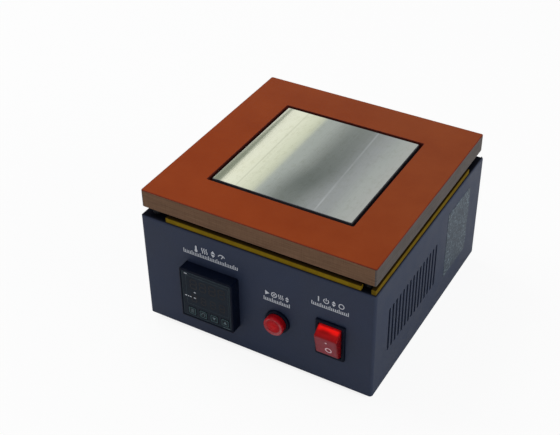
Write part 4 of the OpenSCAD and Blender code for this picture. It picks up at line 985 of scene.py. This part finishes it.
def legends():
    """White marks over the controller, the run light and the switch.

    Their places are millimetres right of the case's middle and above its bottom edge.
    """
    panel = on_front(0, BOTTOM_Z)
    size, y = 6.6, 85
    heater = thermometer(-51, y, size) + heat_waves(-43.3, y, size) + up_down(-35.6, y, size)
    heater += dial_arc(-28, y - 0.4, size) + rule(-62.5, -14, 78, 3.6)
    ink("controller_legend", panel, INK, heater)
    size, y = 5.4, 66.8
    running = play(11.8, y, size) + cross(17.8, y, size) + heat_waves(23.6, y, size)
    running += up_down(29, y - 0.2, size) + rule(9, 31, 59.6, 3.4)
    ink("run_light_legend", panel, INK, running,
        [ring_pair(17.8, y, 0.48 * size, 0.12 * size)])
    y = 79.2
    mains = [bar(55.5, y, 0.9, 4.6)] + power(61.8, y, 5.6) + up_down(68.0, y, size)
    mains += rule(50, 80, 72.4, 3.2)
    ink("switch_legend", panel, INK, mains, [ring_pair(74.3, y, 2.4, 0.7)])


# The scene round the object

def level_sheet(name, place, side, material):
    """A level square of the scene, which isn't part of the object."""
    mesh = bpy.data.meshes.new(name)
    half = side / 2
    corners = [(-half, -half, 0), (half, -half, 0), (half, half, 0), (-half, half, 0)]
    mesh.from_pydata(corners, [], [(0, 1, 2, 3)])
    mesh.materials.append(material)
    shown = bpy.data.objects.new(name, mesh)
    shown.matrix_world = Matrix.Translation(place)
    bpy.context.scene.collection.objects.link(shown)
    return shown


def reflected_bands():
    """A card over the bench that only gloss sees: the bright and dark bands in the hot plate.

    A millimetre of the plate mirrors one unit of the card, so places on it are plate millimetres.
    """
    spread, card_side = 3.129, 0.66
    card_place = (-0.704, 1.335, 1.13)
    unit = spread * MM
    half = 64
    sheet = Finish("band_card", Base_Color=(0, 0, 0, 1), Specular_IOR_Level=0.0, Roughness=1.0,
                   Emission_Strength=1.0)
    along = sheet.axis("Y")
    across = sheet.span(sheet.axis("X"), 0, 1, -half * unit, half * unit)
    bands = ((-64, (1.0, 1.0, 0.84)), (-46, (0.96, 0.98, 0.80)), (-30, (0.80, 0.83, 0.65)),
             (-25, (0.68, 0.71, 0.56)), (-22, (0.47, 0.51, 0.48)), (0, (0.41, 0.44, 0.42)),
             (24, (0.37, 0.39, 0.395)), (36, (0.38, 0.40, 0.405)), (46, (0.445, 0.475, 0.46)),
             (64, (0.53, 0.54, 0.52)))
    tone = sheet.ramp(across, *[((at + half) / (2 * half), colour) for at, colour in bands])
    core_x = sheet.span(along, 2 * unit, 10 * unit, -50 * unit, -8 * unit)
    core = sheet.near(sheet.axis("X"), core_x, 6 * unit, 23 * unit)
    depth = sheet.math("MULTIPLY", sheet.span(along, 0.85, 0.52, -30 * unit, 60 * unit),
                       sheet.span(along, 0.8, 1, -55 * unit, -30 * unit))
    tone = sheet.mixed(sheet.math("MULTIPLY", core, depth), tone, (0.135, 0.155, 0.145, 1))
    inward = sheet.span(sheet.across(-0.025), 1, 0, -54.9 * unit, -54.3 * unit)
    outward = sheet.span(sheet.across(0.022), 0, 1, -60.4 * unit, -59.6 * unit)
    tone = sheet.mixed(sheet.math("MULTIPLY", inward, outward), tone, (0.27, 0.30, 0.23, 1))
    sheet.link(tone, "Emission Color")
    card = level_sheet("band_card", card_place, card_side, sheet.material)
    for unseen in ("camera", "diffuse", "shadow", "transmission", "volume_scatter"):
        setattr(card, f"visible_{unseen}", False)


def world():
    """Plain studio: white for what the camera sees, and for gloss a white horizon under a darker ceiling."""
    scene_world = bpy.data.worlds.new("studio")
    bpy.context.scene.world = scene_world
    scene_world.use_nodes = True
    studio = Nodes(scene_world.node_tree)
    ray = studio.node("ShaderNodeLightPath").outputs
    direction = studio.node("ShaderNodeTexCoord").outputs["Generated"]
    height = studio.node("ShaderNodeSeparateXYZ", {0: direction}).outputs["Z"]
    levels = ((0.0, 0.85), (0.2, 0.8), (0.5, 0.25), (1.0, 0.22))
    ceiling = studio.ramp(height, *[(at, (level, level, level * 1.03)) for at, level in levels])
    shiny = studio.math("MAXIMUM", ray["Is Glossy Ray"], ray["Is Transmission Ray"])
    light = studio.mixed(shiny, (0.46, 0.47, 0.50, 1), ceiling)
    seen = studio.mixed(ray["Is Camera Ray"], light, (1, 1, 1, 1))
    studio.tree.links.new(seen, studio.tree.nodes["Background"].inputs["Color"])


def floor():
    """Pale floor, white to the camera, which keeps a soft shadow and is plain and matt under the case."""
    sheet = Finish("floor_sheet", Specular_IOR_Level=0.0, Roughness=1.0, Emission_Color=(1, 1, 1, 1))
    aside = sheet.math("MAXIMUM", *[sheet.math("ABSOLUTE", sheet.axis(letter)) for letter in "XY"])
    clear = sheet.span(aside, 0, 0.92, SIDE_X - 0.03, SIDE_X - 0.005)
    glow = sheet.math("MULTIPLY", sheet.node("ShaderNodeLightPath").outputs["Is Camera Ray"], clear)
    sheet.link(sheet.mixed(glow, (0.82, 0.82, 0.82, 1), (0, 0, 0, 1)), "Base Color")
    sheet.link(glow, "Emission Strength")
    level_sheet("floor", place=(0, 0, -0.0001), side=12.0, material=sheet.material)


def lamp_at(name, place, target, width, height, level, colour):
    """A soft area light; level is the light it throws on a surface facing it, where 1 renders as written."""
    light = bpy.data.lights.new(name, "AREA")
    light.shape = "RECTANGLE"
    light.size, light.size_y = width, height
    toward = Vector(target) - Vector(place)
    light.energy = level * math.pi ** 2 * toward.length_squared
    light.color = colour
    lit = bpy.data.objects.new(name, light)
    lit.matrix_world = Matrix.Translation(place) @ toward.to_track_quat("-Z", "Y").to_matrix().to_4x4()
    bpy.context.scene.collection.objects.link(lit)


def camera():
    """The photograph's view, fitted to the corners of the case and the board."""
    azimuth, elevation, roll = (math.radians(a) for a in (30.38, 36.63, -0.88))
    focal_px, image_w = 1072.2, 560
    case_foot = Vector((0, (CASE_LOW.y + CASE_HIGH.y) / 2, BOTTOM_Z))
    spot = case_foot + Vector((0.3311, -0.6253, 0.5929))
    level = Vector((math.cos(azimuth), math.sin(azimuth), 0))
    forward = Vector((-math.sin(azimuth), math.cos(azimuth), 0))
    ahead = forward * math.cos(elevation) - Vector((0, 0, math.sin(elevation)))
    right = level * math.cos(roll) - ahead.cross(level) * math.sin(roll)
    up = -ahead.cross(right)
    lens = bpy.data.cameras.new("view")
    lens.sensor_width = 36
    lens.sensor_fit = "HORIZONTAL"
    lens.lens = focal_px / image_w * lens.sensor_width
    lens.clip_start = 0.01
    eye = bpy.data.objects.new("view", lens)
    eye.matrix_world = Matrix.Translation(spot) @ Matrix((right, up, -ahead)).transposed().to_4x4()
    bpy.context.scene.collection.objects.link(eye)
    bpy.context.scene.camera = eye


camera()
bpy.context.scene.view_settings.view_transform = "Standard"
world()
floor()
lamp_at("window", place=(-0.9, 0.1, 1.3), target=(0, 0, 0.1), width=1.0, height=0.8,
        level=0.45, colour=(1.0, 0.99, 0.96))
lamp_at("right_fill", place=(1.3, 0.1, 0.6), target=(0.1, 0, 0.06), width=0.8, height=0.5,
        level=0.36, colour=(1.0, 0.98, 0.88))
dress_nodes()
board()
plate()
surround()
display()
for number in (1, 2, 3, 4):
    key_cap(number)
lamp()
switch_frame()
rocker()
legends()
reflected_bands()
